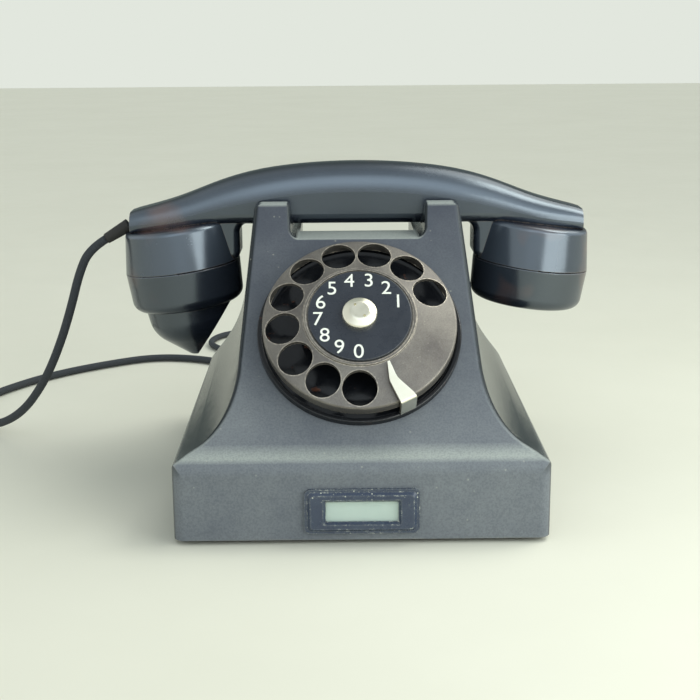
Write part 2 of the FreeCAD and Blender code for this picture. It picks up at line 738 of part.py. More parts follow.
def make_pulse_contacts():
    """Three blades beside the cam, on an insulating block that stands under the dial case."""
    half, low = BLADE_L / 2, -CAM_DROP - CAM_T
    starts = [CAM_R + 2 * BLADE_T + i * BLADE_STEP for i in range(3)]
    blades = [box((-half, y, low), (half, y + BLADE_T, low + CAM_T)) for y in starts]
    front = starts[0] - BLADE_STEP / 2
    block = box((half, front, -CASE_DEPTH - CONTACT_BLOCK_H),
                (half + CONTACT_BLOCK_W, front + CONTACT_BLOCK_D, -CASE_DEPTH))
    stack = fuse([block] + blades)
    stack.rotate(V(0, 0, 0), V(0, 0, 1), -IMPULSE_ANGLE)
    stack.translate(spindle_spot(IMPULSE_ANGLE, PINION_R))
    return stack


def make_finger_stop():
    """Curved hook over the finger wheel, on a leg that stands on the dial case's lip."""
    outer = CASE_LIP_R - FIT_GAP / 2
    inner = outer - STOP_T
    foot = CASE_LIP_H - FACE_DROP
    side = prism([(inner, foot, 0), (outer, foot, 0), (outer, STOP_LIFT + STOP_T, STOP_T),
                  (STOP_TIP_R, STOP_TIP_LIFT + STOP_T, 0), (STOP_TIP_R, STOP_TIP_LIFT, 0),
                  (inner, STOP_LIFT, FIT_GAP)], V(0, 2 * STOP_W, 0), xz)
    side.translate(V(0, -STOP_W, 0))
    half, tip, curve = STOP_W / 2, STOP_TIP_W / 2, STOP_CURVE
    shape = prism([(STOP_TIP_R, -tip, 0), (HOLE_CIRCLE_R, -curve, 2 * curve), (outer + STOP_T, -half, 0),
                   (outer + STOP_T, half, 0), (WHEEL_R, half - tip, curve), (HOLE_CIRCLE_R, 0, 2 * curve),
                   (STOP_TIP_R, tip, 0)], V(0, 0, 3 * FACE_DROP))
    shape.translate(V(0, 0, -2 * FACE_DROP))
    stop = side.common(shape)
    stop.rotate(V(0, 0, 0), V(0, 0, 1), 90 - STOP_ANGLE)
    return stop


# Cradle switch


def make_plunger(side):
    top = SADDLE_Z - PLUNGER_DOWN
    base = V(side * PLUNGER_X, HANDSET_Y, top - PLUNGER_LEN)
    return rod(PLUNGER_R, PLUNGER_LEN, base)


def make_guides():
    """Bushes that the plungers slide in, pressed into the saddles."""
    guides = []
    for side in (-1, 1):
        base = V(side * PLUNGER_X, HANDSET_Y, SADDLE_Z - WALL - GUIDE_H)
        bush = tube(GUIDE_R, PLUNGER_R + RUN_GAP, GUIDE_H + WALL - REST_GAP, base)
        guides.append(bush)
    return Part.Compound(guides)


LEVER_TOP = SADDLE_Z - PLUNGER_DOWN - PLUNGER_LEN
LEVER_PIVOT_Z = LEVER_TOP - LEVER_T - LEVER_BAR / 2
BRACKET_CEILING = WELL_Z - WALL


def make_lever():
    """Two arms under the plungers, joined by a bar that turns on the pin and a web behind it."""
    reach = PLUNGER_X + LEVER_W / 2
    y, z, bar_r = LEVER_PIVOT_Y, LEVER_PIVOT_Z, LEVER_BAR
    arms = []
    for x in (-PLUNGER_X, PLUNGER_X):
        arms.append(box((x - LEVER_W / 2, HANDSET_Y - LEVER_W / 2, LEVER_TOP - LEVER_T),
                        (x + LEVER_W / 2, y + bar_r, LEVER_TOP)))
    bar = box((-reach, y - bar_r, z - bar_r), (reach, y + bar_r, z + bar_r))
    wide, clear = BRACKET_T / 2 + FIT_GAP, bar_r + FIT_GAP
    slots = [box((s * BRACKET_X - wide, y - clear, z - clear), (s * BRACKET_X + wide, y + clear, z + clear))
             for s in (-1, 1)]
    crank = fuse(arms + [bar]).cut(Part.Compound(slots))
    back = y + clear + THREAD_GAP
    web = box((-reach, back, z - 2 * bar_r / 3), (reach, back + LEVER_WEB_T, z + bar_r / 3))
    inner = BRACKET_X - bar_r
    outer = BRACKET_X + bar_r
    ties = [box((a, y + bar_r / 2, z - 2 * bar_r / 3), (b, back + LEVER_WEB_T / 2, z + bar_r / 3))
            for a, b in ((-reach, -outer), (-inner, inner), (outer, reach))]
    bore = rod(LEVER_PIN_R + RUN_GAP, 4 * reach, V(-2 * reach, y, z), V(1, 0, 0))
    return fuse([crank, web] + ties).cut(bore)


def make_hook_bracket():
    """Plate under the well's floor, with two ears that hold the lever's pin."""
    reach, half = BRACKET_X + BRACKET_T / 2, BRACKET_T
    y, z = LEVER_PIVOT_Y, LEVER_PIVOT_Z
    plate = box((-reach, y - BRACKET_REACH, BRACKET_CEILING - BRACKET_T), (reach, y + half, BRACKET_CEILING))
    ears = [box((s * BRACKET_X - BRACKET_T / 2, y - half, z - half),
                (s * BRACKET_X + BRACKET_T / 2, y + half, BRACKET_CEILING)) for s in (-1, 1)]
    bore = rod(LEVER_PIN_R + RUN_GAP, 4 * reach, V(-2 * reach, y, z), V(1, 0, 0))
    return fuse([plate] + ears).cut(bore)


def make_hook_pin():
    reach = PLUNGER_X + LEVER_W / 2 - LEVER_PIN_R / 2
    return rod(LEVER_PIN_R, 2 * reach, V(-reach, LEVER_PIVOT_Y, LEVER_PIVOT_Z), V(1, 0, 0))


def make_hook_contacts():
    """Stack of leaf springs between insulators, held under the bracket's plate."""
    top = BRACKET_CEILING - BRACKET_T
    back = LEVER_PIVOT_Y - BRACKET_REACH
    half = SWITCH_BLOCK_W / 2
    block = box((-half, back, top - SWITCH_BLOCK_H), (half, back + SWITCH_BLOCK_D, top))
    blades = []
    for i in range(SWITCH_BLADE_COUNT):
        x = (i - (SWITCH_BLADE_COUNT - 1) / 2) * SWITCH_BLADE_STEP
        z = top - SWITCH_BLADE_W * (1 + (i % 3) * 0.8)
        blades.append(box((x - SWITCH_BLADE_W / 2, back - SWITCH_BLADE_L, z),
                          (x + SWITCH_BLADE_W / 2, back, z + SWITCH_BLADE_T)))
    return fuse([block] + blades)


# Bell


def make_gong(side):
    dome = turned([(POST_R - 1, GONG_H, 0), (GONG_R * 0.45, GONG_H, 4), (GONG_R * 0.85, GONG_H * 0.75, 6),
                   (GONG_R, 0, 0), (GONG_R - GONG_T, 0, 0),
                   (GONG_R * 0.85 - GONG_T, GONG_H * 0.75 - GONG_T, 5),
                   (GONG_R * 0.45, GONG_H - GONG_T, 3), (POST_R - 1, GONG_H - GONG_T, 0)])
    dome.translate(V(side * GONG_X, GONG_Y, GONG_Z))
    return dome


def slotted_screw(spot, head_r):
    """Cheese-head screw under its head's seat, with a slot across the head."""
    head = rod(head_r, HEAD_H, spot)
    slot = box((-head_r, -SLOT_W / 2, HEAD_H - SLOT_D), (head_r, SLOT_W / 2, HEAD_H + SLOT_D))
    slot.translate(spot)
    shank = rod(SCREW_R, TAP_LEN - TAP_GAP, spot - V(0, 0, TAP_LEN - TAP_GAP))
    return head.cut(slot).fuse(shank).removeSplitter()


def tapped_hole(spot):
    return rod(SCREW_R + THREAD_GAP, TAP_LEN, spot - V(0, 0, TAP_LEN))


def gong_spots(height):
    return [V(side * GONG_X, GONG_Y, height) for side in (-1, 1)]


def make_gong_posts():
    top = GONG_Z + GONG_H - GONG_T
    posts = []
    for base, head in zip(gong_spots(FLOOR_Z), gong_spots(top)):
        post = fuse([rod(POST_R, top - FLOOR_Z, base), rod(2 * POST_R, HEAD_H, base)])
        posts.append(post.cut(tapped_hole(head)))
    return Part.Compound(posts)


def make_gong_screws():
    return Part.Compound([slotted_screw(spot, POST_R) for spot in gong_spots(GONG_Z + GONG_H)])


CORE_END = COIL_Y + COIL_LEN / 2 + CORE_PROUD
ARMATURE_Y = CORE_END + ARMATURE_GAP
CLAPPER_PIVOT_Y = ARMATURE_Y + ARMATURE_T + CLAPPER_PIN_R + 1.0


def make_yoke():
    """Upright plate behind the coils with a foot, and an arm that carries the clapper's pin."""
    back = COIL_Y - COIL_LEN / 2
    tall = COIL_Z + COIL_R
    upright = box((-YOKE_W / 2, back - YOKE_T, FLOOR_Z), (YOKE_W / 2, back, tall))
    sole = box((-4, back, FLOOR_Z), (4, CLAPPER_PIVOT_Y + 6, FLOOR_Z + YOKE_T))
    post = box((-4, CLAPPER_PIVOT_Y - 3, FLOOR_Z), (4, CLAPPER_PIVOT_Y + 6, COIL_Z - 5))
    bore = rod(CLAPPER_PIN_R + THREAD_GAP, 10, V(0, CLAPPER_PIVOT_Y, COIL_Z - 13))
    holes = [rod(CORE_R - 1 + THREAD_GAP, 3 * YOKE_T, V(s * COIL_X, back - 2 * YOKE_T, COIL_Z), V(0, 1, 0))
             for s in (-1, 1)]
    return fuse([upright, sole, post]).cut(fuse([bore] + holes))


def make_cores():
    back = COIL_Y - COIL_LEN / 2
    cores = []
    for side in (-1, 1):
        core = rod(CORE_R, CORE_END - back, V(side * COIL_X, back, COIL_Z), V(0, 1, 0))
        tail = rod(CORE_R - 1, YOKE_T, V(side * COIL_X, back - YOKE_T, COIL_Z), V(0, 1, 0))
        cores.append(core.fuse(tail).removeSplitter())
    return Part.Compound(cores)


def make_coils():
    coils = []
    for side in (-1, 1):
        coil = turned([(CORE_R + THREAD_GAP, 0, 0), (COIL_R, 0, 0), (COIL_R, 1.5, 0), (COIL_R - 1, 1.5, 0),
                       (COIL_R - 1, COIL_LEN - 1.5, 0), (COIL_R, COIL_LEN - 1.5, 0), (COIL_R, COIL_LEN, 0),
                       (CORE_R + THREAD_GAP, COIL_LEN, 0)])
        coil.rotate(V(0, 0, 0), V(1, 0, 0), -90)
        coil.translate(V(side * COIL_X, COIL_Y - COIL_LEN / 2, COIL_Z))
        coils.append(coil)
    return Part.Compound(coils)


def make_clapper_pin():
    return rod(CLAPPER_PIN_R, 18, V(0, CLAPPER_PIVOT_Y, COIL_Z - 13))


def make_clapper():
    """Armature bar with its hub on the pin, the rod and the ball between the gongs."""
    hub = rod(CLAPPER_PIN_R + 1.5, 7, V(0, CLAPPER_PIVOT_Y, COIL_Z - 4))
    bar = box((-ARMATURE_W / 2, ARMATURE_Y, COIL_Z - 4),
              (ARMATURE_W / 2, ARMATURE_Y + ARMATURE_T, COIL_Z + 3))
    neck = rod(1.2, GONG_Z + 5 - COIL_Z, V(0, CLAPPER_PIVOT_Y + 3, COIL_Z))
    link = box((-1.2, CLAPPER_PIVOT_Y + CLAPPER_PIN_R + 0.6, COIL_Z - 1),
               (1.2, CLAPPER_PIVOT_Y + 4, COIL_Z + 1))
    arm = rod(1.0, GONG_Y - CLAPPER_PIVOT_Y - 3, V(0, CLAPPER_PIVOT_Y + 3, GONG_Z + 4), V(0, 1, 0))
    ball = Part.makeSphere(CLAPPER_R, V(0, GONG_Y, GONG_Z + 4))
    body = fuse([hub, bar, link, neck, arm, ball])
    return body.cut(rod(CLAPPER_PIN_R + RUN_GAP, 12, V(0, CLAPPER_PIVOT_Y, COIL_Z - 6)))


# Circuit pieces


def make_induction_coil():
    half, tall = INDUCTION_L / 2, INDUCTION_W
    ends = [box((-INDUCTION_W / 2, s * (half - 2) - 2, 0), (INDUCTION_W / 2, s * (half - 2) + 2, tall))
            for s in (-1, 1)]
    winding = rod(INDUCTION_W / 2 - 1.5, INDUCTION_L - 4, V(0, 2 - half, tall / 2), V(0, 1, 0))
    piece = fuse(ends + [winding])
    piece.translate(V(INDUCTION_X, INDUCTION_Y, FLOOR_Z))
    return piece


def make_capacitor():
    half, deep = CAPACITOR_W / 2, CAPACITOR_L / 2
    can = prism([(-half, -deep, 2), (half, -deep, 2), (half, deep, 2), (-half, deep, 2)],
                V(0, 0, CAPACITOR_H))
    tags = [box((s * 5 - 1.5, -0.4, CAPACITOR_H), (s * 5 + 1.5, 0.4, CAPACITOR_H + 5)) for s in (-1, 1)]
    piece = fuse([can] + tags)
    piece.translate(V(CAPACITOR_X, CAPACITOR_Y, FLOOR_Z))
    return piece


def terminal_spots():
    step = TERMINAL_W / TERMINAL_COUNT
    top = FLOOR_Z + TERMINAL_H
    return [V((i + 0.5) * step - TERMINAL_W / 2, TERMINAL_Y, top) for i in range(TERMINAL_COUNT)]


def make_terminal_block():
    half = TERMINAL_W / 2
    block = box((-half, TERMINAL_Y - TERMINAL_D / 2, FLOOR_Z), (half, TERMINAL_Y + TERMINAL_D / 2,
                                                               FLOOR_Z + TERMINAL_H))
    return block.cut(Part.Compound([tapped_hole(spot) for spot in terminal_spots()]))


def make_terminal_screws():
    return Part.Compound([slotted_screw(spot, HEAD_R) for spot in terminal_spots()])


# Handset


def cup_frame(side):
    """Placement of a cup: origin on its axis at the seam with its cap, Z up along the axis."""
    seam = V(side * CUP_X, HANDSET_Y, CUP_SHOULDER_Z - CUP_H)
    return FreeCAD.Placement(seam, FreeCAD.Rotation(V(0, 1, 0), side * CUP_TILT))


def in_cup(shape, side):
    placed = shape.copy()
    placed.Placement = cup_frame(side).multiply(placed.Placement)
    return placed


def handle_section(x, low, high, width):
    """Rounded section of the handle: nearly flat below, arched above."""
    half = width / 2
    tall = high - low
    below = min(4.5, tall * 0.3)
    above = min(half * 0.92, tall * 0.62)
    return outline([(HANDSET_Y - half, low, below), (HANDSET_Y + half, low, below),
                    (HANDSET_Y + half, high, above), (HANDSET_Y - half, high, above)],
                   lambda u, v: V(x, u, v))


def make_neck(side):
    """Rounded web that carries the inner side of a cup up into the handle."""
    inner, rest = CUP_X - NECK_REACH, SADDLE_Z + REST_GAP
    low, top, root = CUP_SHOULDER_Z - NECK_DROP, rest + NECK_EDGE_R, inner - NECK_R - NECK_EDGE_R
    profile = [(CUP_X, low, 0), (CUP_X, top, 0), (root, top, 0), (root, rest, 0), (inner, rest, NECK_R),
               (inner, low, NECK_EDGE_R)]
    web = prism([(side * x, z, r) for x, z, r in profile], V(0, NECK_W, 0), xz)
    web.translate(V(0, HANDSET_Y - NECK_W / 2, 0))
    half_w = NECK_W / 2 - FIT_GAP
    rims = [edge for edge in web.Edges if abs(edge.CenterOfMass.y - HANDSET_Y) > half_w
            and edge.BoundBox.ZMax < rest + FIT_GAP and edge.BoundBox.ZLength > FIT_GAP
            and abs(edge.CenterOfMass.x) < CUP_X - FIT_GAP]
    return web.makeFillet(NECK_EDGE_R * 0.9, rims)


HANDLE_STATIONS = [(0.0, 1.0, 0.0, 0.0), (0.27, 0.935, 0.0, 0.0), (0.46, 0.787, 0.0, 0.0),
                   (0.6, 0.583, 0.09, 0.17), (0.75, 0.306, 0.67, 0.33), (0.9, 0.093, 0.89, 0.67),
                   (0.965, 0.0, 1.0, 1.0)]


def make_handset_body():
    """Arched handle and its two cups. A station gives shares of half length, arch, drop below and taper."""
    rest = SADDLE_Z + REST_GAP
    arch = HANDLE_TOP - HANDLE_TIP_TOP
    stations = [(along, rest - drop * HANDLE_TIP_DROP, HANDLE_TIP_TOP + high * arch,
                 HANDLE_W - taper * HANDLE_TIP_TAPER) for along, high, drop, taper in HANDLE_STATIONS]
    places = [(-s * HANDSET_HALF_L, a, b, c) for s, a, b, c in reversed(stations[1:])]
    places += [(s * HANDSET_HALF_L, a, b, c) for s, a, b, c in stations]
    handle = Part.makeLoft([handle_section(*place) for place in places], True, False)
    cup = turned([(0, 0, 0), (CUP_R, 0, 0.4), (CUP_SHOULDER_R, CUP_H, CUP_EDGE_R), (0, CUP_H + 0.6, 0)])
    body = fuse([handle, in_cup(cup, -1), in_cup(cup, 1), make_neck(-1), make_neck(1)])
    room = Part.makeCone(CUP_R - CAP_WALL, CUP_SHOULDER_R - CAP_WALL, CUP_H - CAP_WALL)
    return body.cut(in_cup(room, -1)).cut(in_cup(room, 1))


def cap_shell():
    """Cap in its cup's frame, hanging below the seam."""
    inner = CUP_R - CAP_WALL
    return turned([(0, -CAP_H, 0), (CUP_R - 1, -CAP_H + 1.2, CAP_EDGE_R), (CUP_R, 0, 0.4), (inner, 0, 0),
                   (inner, CAP_FACE_T - CAP_H + 1.2, 1.5), (0, CAP_FACE_T - CAP_H, 0)])


def make_ear_cap():
    dish = Part.makeSphere(EAR_DISH_R ** 2 / (2 * EAR_DISH_DEPTH),
                           V(0, 0, -CAP_H + EAR_DISH_DEPTH - EAR_DISH_R ** 2 / (2 * EAR_DISH_DEPTH)))
    cap = cap_shell().cut(dish)
    spots = [V(0, 0, -CAP_H - 2)]
    spots += [clock(EAR_HOLE_CIRCLE, i * 360 / EAR_HOLE_COUNT, -CAP_H - 2) for i in range(EAR_HOLE_COUNT)]
    return in_cup(cap.cut(Part.Compound([rod(EAR_HOLE_R, CAP_FACE_T + 4, p) for p in spots])), 1)


def horn_form(base_r, length):
    top = -CAP_H + CAP_FACE_T / 2
    return turned([(0, top, 0), (base_r, top, 0), (base_r * 0.92, -CAP_H - length * 0.45, base_r * 0.7),
                   (HORN_TIP_R, -CAP_H - length, HORN_TIP_R), (0, -CAP_H - length, 0)])


def make_mouth_cap():
    """Cap with its speech horn: a rounded hood cut by a slanting plane that faces inwards and down."""
    beyond = 2 * HORN_BASE_R
    low, top = -CAP_H - HORN_LEN - HORN_WALL, -CAP_H + FIT_GAP
    outer = horn_form(HORN_BASE_R, HORN_LEN)
    inner = horn_form(HORN_BASE_R - HORN_WALL, HORN_LEN - HORN_WALL * 1.3)
    slant = prism([(HORN_CUT_TIP, low, 0), (beyond, low, 0), (beyond, top, 0), (HORN_CUT_TOP, top, 0)],
                  V(0, 2 * beyond, 0), xz)
    slant.translate(V(0, -beyond, 0))
    hood = outer.cut(inner).cut(slant)
    throat = rod(HORN_BASE_R * 0.55, CAP_FACE_T * 3, V(0, 0, -CAP_H - CAP_FACE_T))
    cap = cap_shell().cut(throat)
    return in_cup(fuse([cap, hood]), -1)


CAPSULE_LOW = CAP_FACE_T - CAP_H + CAPSULE_SEAT


def make_capsule(side):
    """Receiver or transmitter unit that the cap clamps in its cup."""
    radius = CUP_R - CAP_WALL - CAPSULE_GAP
    low, high, edge = CAPSULE_LOW, CAPSULE_LOW + CAPSULE_H, CAPSULE_H / 5
    body = turned([(0, low, 0), (radius * 0.8, low, 1), (radius, low + edge, 0), (radius, high - edge, 1),
                   (radius * 0.7, high, 0), (0, high, 0)])
    return in_cup(body, side)


def make_handset_contacts():
    """Bent leaf springs in each cup that press on the unit's back."""
    half, end, back = LEAF_W / 2, LEAF_L / 2, CAPSULE_LOW + CAPSULE_H
    leaves = []
    for side in (-1, 1):
        for x in (-LEAF_X, LEAF_X):
            leaf = box((x - half, -end, back), (x + half, end, back + LEAF_T))
            post = box((x - half, end - LEAF_POST, back), (x + half, end, CUP_H - CAP_WALL))
            leaves.append(in_cup(leaf.fuse(post).removeSplitter(), side))
    return Part.Compound(leaves)


# Cords


HANDSET_CORD_START = V(-HANDSET_HALF_L + 2.0, HANDSET_Y, SADDLE_Z - 1.2)
SLEEVE_WAY = V(-0.86, 0, -0.51).normalize()
SLEEVE_END = HANDSET_CORD_START + SLEEVE_WAY * SLEEVE_LEN
GLAND_END = REAR_Y + GLAND_PROUD
ON_TABLE = CORD_D / 2 + 0.3
LINE_ON_TABLE = LINE_D / 2 + 0.3
COIL_OUTER = COIL_MID_D / 2 + COIL_STEP * COIL_TURNS_PER_LAYER / 2
COIL_START = V(COIL_CENTRE_X - COIL_OUTER, COIL_CENTRE_Y + LINE_D, LINE_ON_TABLE)
HANDSET_CORD_ROUTE = [
    SLEEVE_END, SLEEVE_END + SLEEVE_WAY * 9.5, V(-126.5, 29.5, 86), V(-131, 31, 71), V(-138, 34, 52),
    V(-148, 40, 32), V(-162, 49, 14), V(-180, 63, ON_TABLE + 1), V(-196, 84, ON_TABLE),
    V(-202, 112, ON_TABLE), V(-190, 139, ON_TABLE), V(-172, 166, ON_TABLE), V(-146, 189, ON_TABLE),
    V(-118, 206, ON_TABLE), V(-86, 198, ON_TABLE), V(-60, 175, ON_TABLE), V(-42, 147, ON_TABLE),
    V(-32, 122, ON_TABLE + 3), V(HANDSET_GLAND_X, 104, GLAND_Z), V(HANDSET_GLAND_X, GLAND_END, GLAND_Z)]
LINE_CORD_ROUTE = [
    V(LINE_GLAND_X, GLAND_END, GLAND_Z), V(LINE_GLAND_X, 104, GLAND_Z), V(1, 125, LINE_ON_TABLE + 3),
    V(-9, 152, LINE_ON_TABLE), V(-27, 181, LINE_ON_TABLE), V(-55, 203, LINE_ON_TABLE),
    V(-79, 219, LINE_ON_TABLE), V(-92, 243, LINE_ON_TABLE), V(-81, 268, LINE_ON_TABLE),
    V(-52, 277, LINE_ON_TABLE), V(-22, 263, LINE_ON_TABLE), V(-1, 240, LINE_ON_TABLE),
    V(9, 213, LINE_ON_TABLE), V(COIL_START.x, 187, LINE_ON_TABLE), COIL_START]


def cord_tube(route, diameter):
    """Tube along straight runs, with the largest tangent arc that each pair of runs allows."""
    edges, here, radii = [], route[0], []
    for i in range(1, len(route) - 1):
        into, out = route[i] - route[i - 1], route[i + 1] - route[i]
        reach = 0.45 * min(into.Length, out.Length)
        turn = into.getAngle(out)
        radius = reach / math.tan(turn / 2)
        radii.append(round(radius))
        arc = corner(route[i - 1], route[i], route[i + 1], radius)
        edges.append(Part.LineSegment(here, arc[0]).toShape())
        edges.append(arc_edge(*arc))
        here = arc[2]
    edges.append(Part.LineSegment(here, route[-1]).toShape())
    path = Part.Wire(edges)
    length = path.Length
    start = Part.Wire(Part.Circle(route[0], route[1] - route[0], diameter / 2).toShape())
    solid = path.makePipeShell([start], True, False)
    share = solid.Volume / (math.pi * diameter ** 2 / 4 * length)
    print("cord length", round(length), "volume share", round(share, 4), "radii", radii)
    return solid


def arc_from(start, way, end):
    """Arc that leaves a point along a direction and reaches another, with its direction there."""
    chord = end - start
    half = chord.getAngle(way) / 2
    side = (way - chord * (way.dot(chord) / chord.dot(chord)))
    if side.Length < 1e-7:
        return Part.LineSegment(start, end).toShape()
    middle = (start + end) * 0.5 + side.normalize() * (chord.Length / 2 * math.tan(half))
    return arc_edge(start, middle, end)


def biarc(start, way_in, end, way_out):
    """Two tangent arcs that join two points with given directions."""
    gap = end - start
    spread = way_in + way_out
    a = 2 * (way_in.dot(way_out) - 1)
    b = -2 * gap.dot(spread)
    c = gap.dot(gap)
    root = math.sqrt(b * b - 4 * a * c)
    reach = c / -b if abs(a) < 1e-9 else (-b - root) / (2 * a)
    joint = (start + way_in * reach + end - way_out * reach) * 0.5
    back = arc_from(end, way_out * -1, joint)
    return [arc_from(start, way_in, joint), back]


def wound_tube(point, first, last, diameter, per_turn, tail):
    """Unbroken tube along point(turns), as a pipe on arcs, with its least gap to itself printed."""
    count = round((last - first) * per_turn)
    marks = [first + (last - first) * i / count for i in range(count + 1)]

    def way(t):
        return (point(t + 1e-4) - point(t - 1e-4)).normalize()

    edges = []
    for a, b in zip(marks, marks[1:]):
        edges += biarc(point(a), way(a), point(b), way(b))
    ends = [(point(first), way(first) * -diameter), (point(last), way(last) * tail)]
    edges += [Part.LineSegment(spot, spot + lead).toShape() for spot, lead in ends]
    path = Part.Wire(Part.__sortEdges__(edges))
    fine = [point(first + (last - first) * i / (36 * count)) for i in range(36 * count + 1)]
    skip = int(36 * per_turn * 0.6)
    last_mark = len(fine)
    least = min((fine[i] - fine[j]).Length for i in range(0, last_mark, 3)
                for j in range(i + skip, last_mark, 3))
    print("wound length", round(path.Length), "least gap to itself", round(least - diameter, 2))
    start = point(first) - way(first) * diameter
    circle = Part.Wire(Part.Circle(start, way(first), diameter / 2).toShape())
    return path.makePipeShell([circle], True, False)


def coil_point(t):
    """Centre line of the put-away coil: in along the lower layer, up, and out along the upper one."""
    turns, climb = COIL_TURNS_PER_LAYER, 0.5
    inner = COIL_OUTER - COIL_STEP * turns
    radius, level = inner, 1.0
    if t <= turns:
        radius, level = COIL_OUTER - COIL_STEP * t, 0.0
    elif t <= turns + climb:
        level = (1 - math.cos(math.pi * (t - turns) / climb)) / 2
    else:
        radius = inner + COIL_STEP * (t - turns - climb)
    angle = 2 * math.pi * (t + 0.5)
    height = LINE_ON_TABLE + level * COIL_LAYER
    return V(COIL_CENTRE_X + radius * math.cos(angle), COIL_CENTRE_Y + radius * math.sin(angle), height)


def make_line_cord_coil():
    return wound_tube(coil_point, 0.0, 2 * COIL_TURNS_PER_LAYER, LINE_D, 4, COIL_TAIL)


def spring_point(t):
    angle = 2 * math.pi * t
    low = -GEAR_DROP - GEAR_T - SPRING_WIRE
    return V(SPRING_R * math.cos(angle), SPRING_R * math.sin(angle), low - SPRING_PITCH * t)


def make_mainspring():
    return wound_tube(spring_point, 0.0, SPRING_TURNS, SPRING_WIRE, 4, SPRING_WIRE)


def gland_neck(x):
    return (CORD_D if x == HANDSET_GLAND_X else LINE_D) / 2 + GLAND_LIP


def make_gland(x, cord_d):
    """Grommet in the rear wall: a neck through the wall and a lip on each side of it."""
    neck = gland_neck(x)
    bush = rod(neck - THREAD_GAP, GLAND_PROUD + WALL + 2, V(x, REAR_Y - WALL - 2, GLAND_Z), V(0, 1, 0))
    lips = [rod(neck + 2, GLAND_PROUD - 1, V(x, REAR_Y, GLAND_Z), V(0, 1, 0)),
            rod(neck + 2, 2, V(x, REAR_Y - WALL - 2, GLAND_Z), V(0, 1, 0))]
    return fuse([bush] + lips)


def make_cord_sleeve():
    sleeve = Part.makeCone(SLEEVE_D / 2, CORD_D / 2 + 0.4, SLEEVE_LEN, HANDSET_CORD_START, SLEEVE_WAY)
    return sleeve.cut(make_handset_body())


def make_coil_tie():
    """Band round the coil's section, on the side away from the telephone."""
    inner = COIL_OUTER - COIL_STEP * COIL_TURNS_PER_LAYER - LINE_D / 2 - TIE_GAP
    outer = COIL_OUTER + LINE_D / 2 + TIE_GAP
    low = LINE_ON_TABLE - LINE_D / 2 - TIE_T / 2
    high = LINE_ON_TABLE + COIL_LAYER + LINE_D / 2 + TIE_GAP
    ring = box((inner - TIE_T, -TIE_W / 2, low - TIE_T / 4), (outer + TIE_T, TIE_W / 2, high + TIE_T))
    ring = ring.cut(box((inner, -TIE_W, low + TIE_T / 4), (outer, TIE_W, high)))
    ring.rotate(V(0, 0, 0), V(0, 0, 1), 90)
    ring.translate(V(COIL_CENTRE_X, COIL_CENTRE_Y, 0))
    return ring


def make_plug():
    """Round plug with two pins, lying beside the coil at the height of its upper layer."""
    axis_z = LINE_ON_TABLE + COIL_LAYER
    radius = axis_z - FIT_GAP / 3
    neck = PLUG_NECK_L + PLUG_BODY_L / 3
    body = turned([(0, 0, 0), (LINE_D / 2 + 0.8, 0, 0), (LINE_D / 2 + 1.4, PLUG_NECK_L, 0), (radius, neck, 2),
                   (radius, PLUG_NECK_L + PLUG_BODY_L, 0.8), (0, PLUG_NECK_L + PLUG_BODY_L, 0)])
    pins = [rod(PLUG_PIN_R, PLUG_PIN_L, V(s * PLUG_PIN_SPACING / 2, 0, PLUG_NECK_L + PLUG_BODY_L))
            for s in (-1, 1)]
    plug = fuse([body] + pins)
    plug.rotate(V(0, 0, 0), V(1, 0, 0), 90)
    end = coil_point(2 * COIL_TURNS_PER_LAYER)
    plug.translate(end - V(0, COIL_TAIL, 0))
    return plug


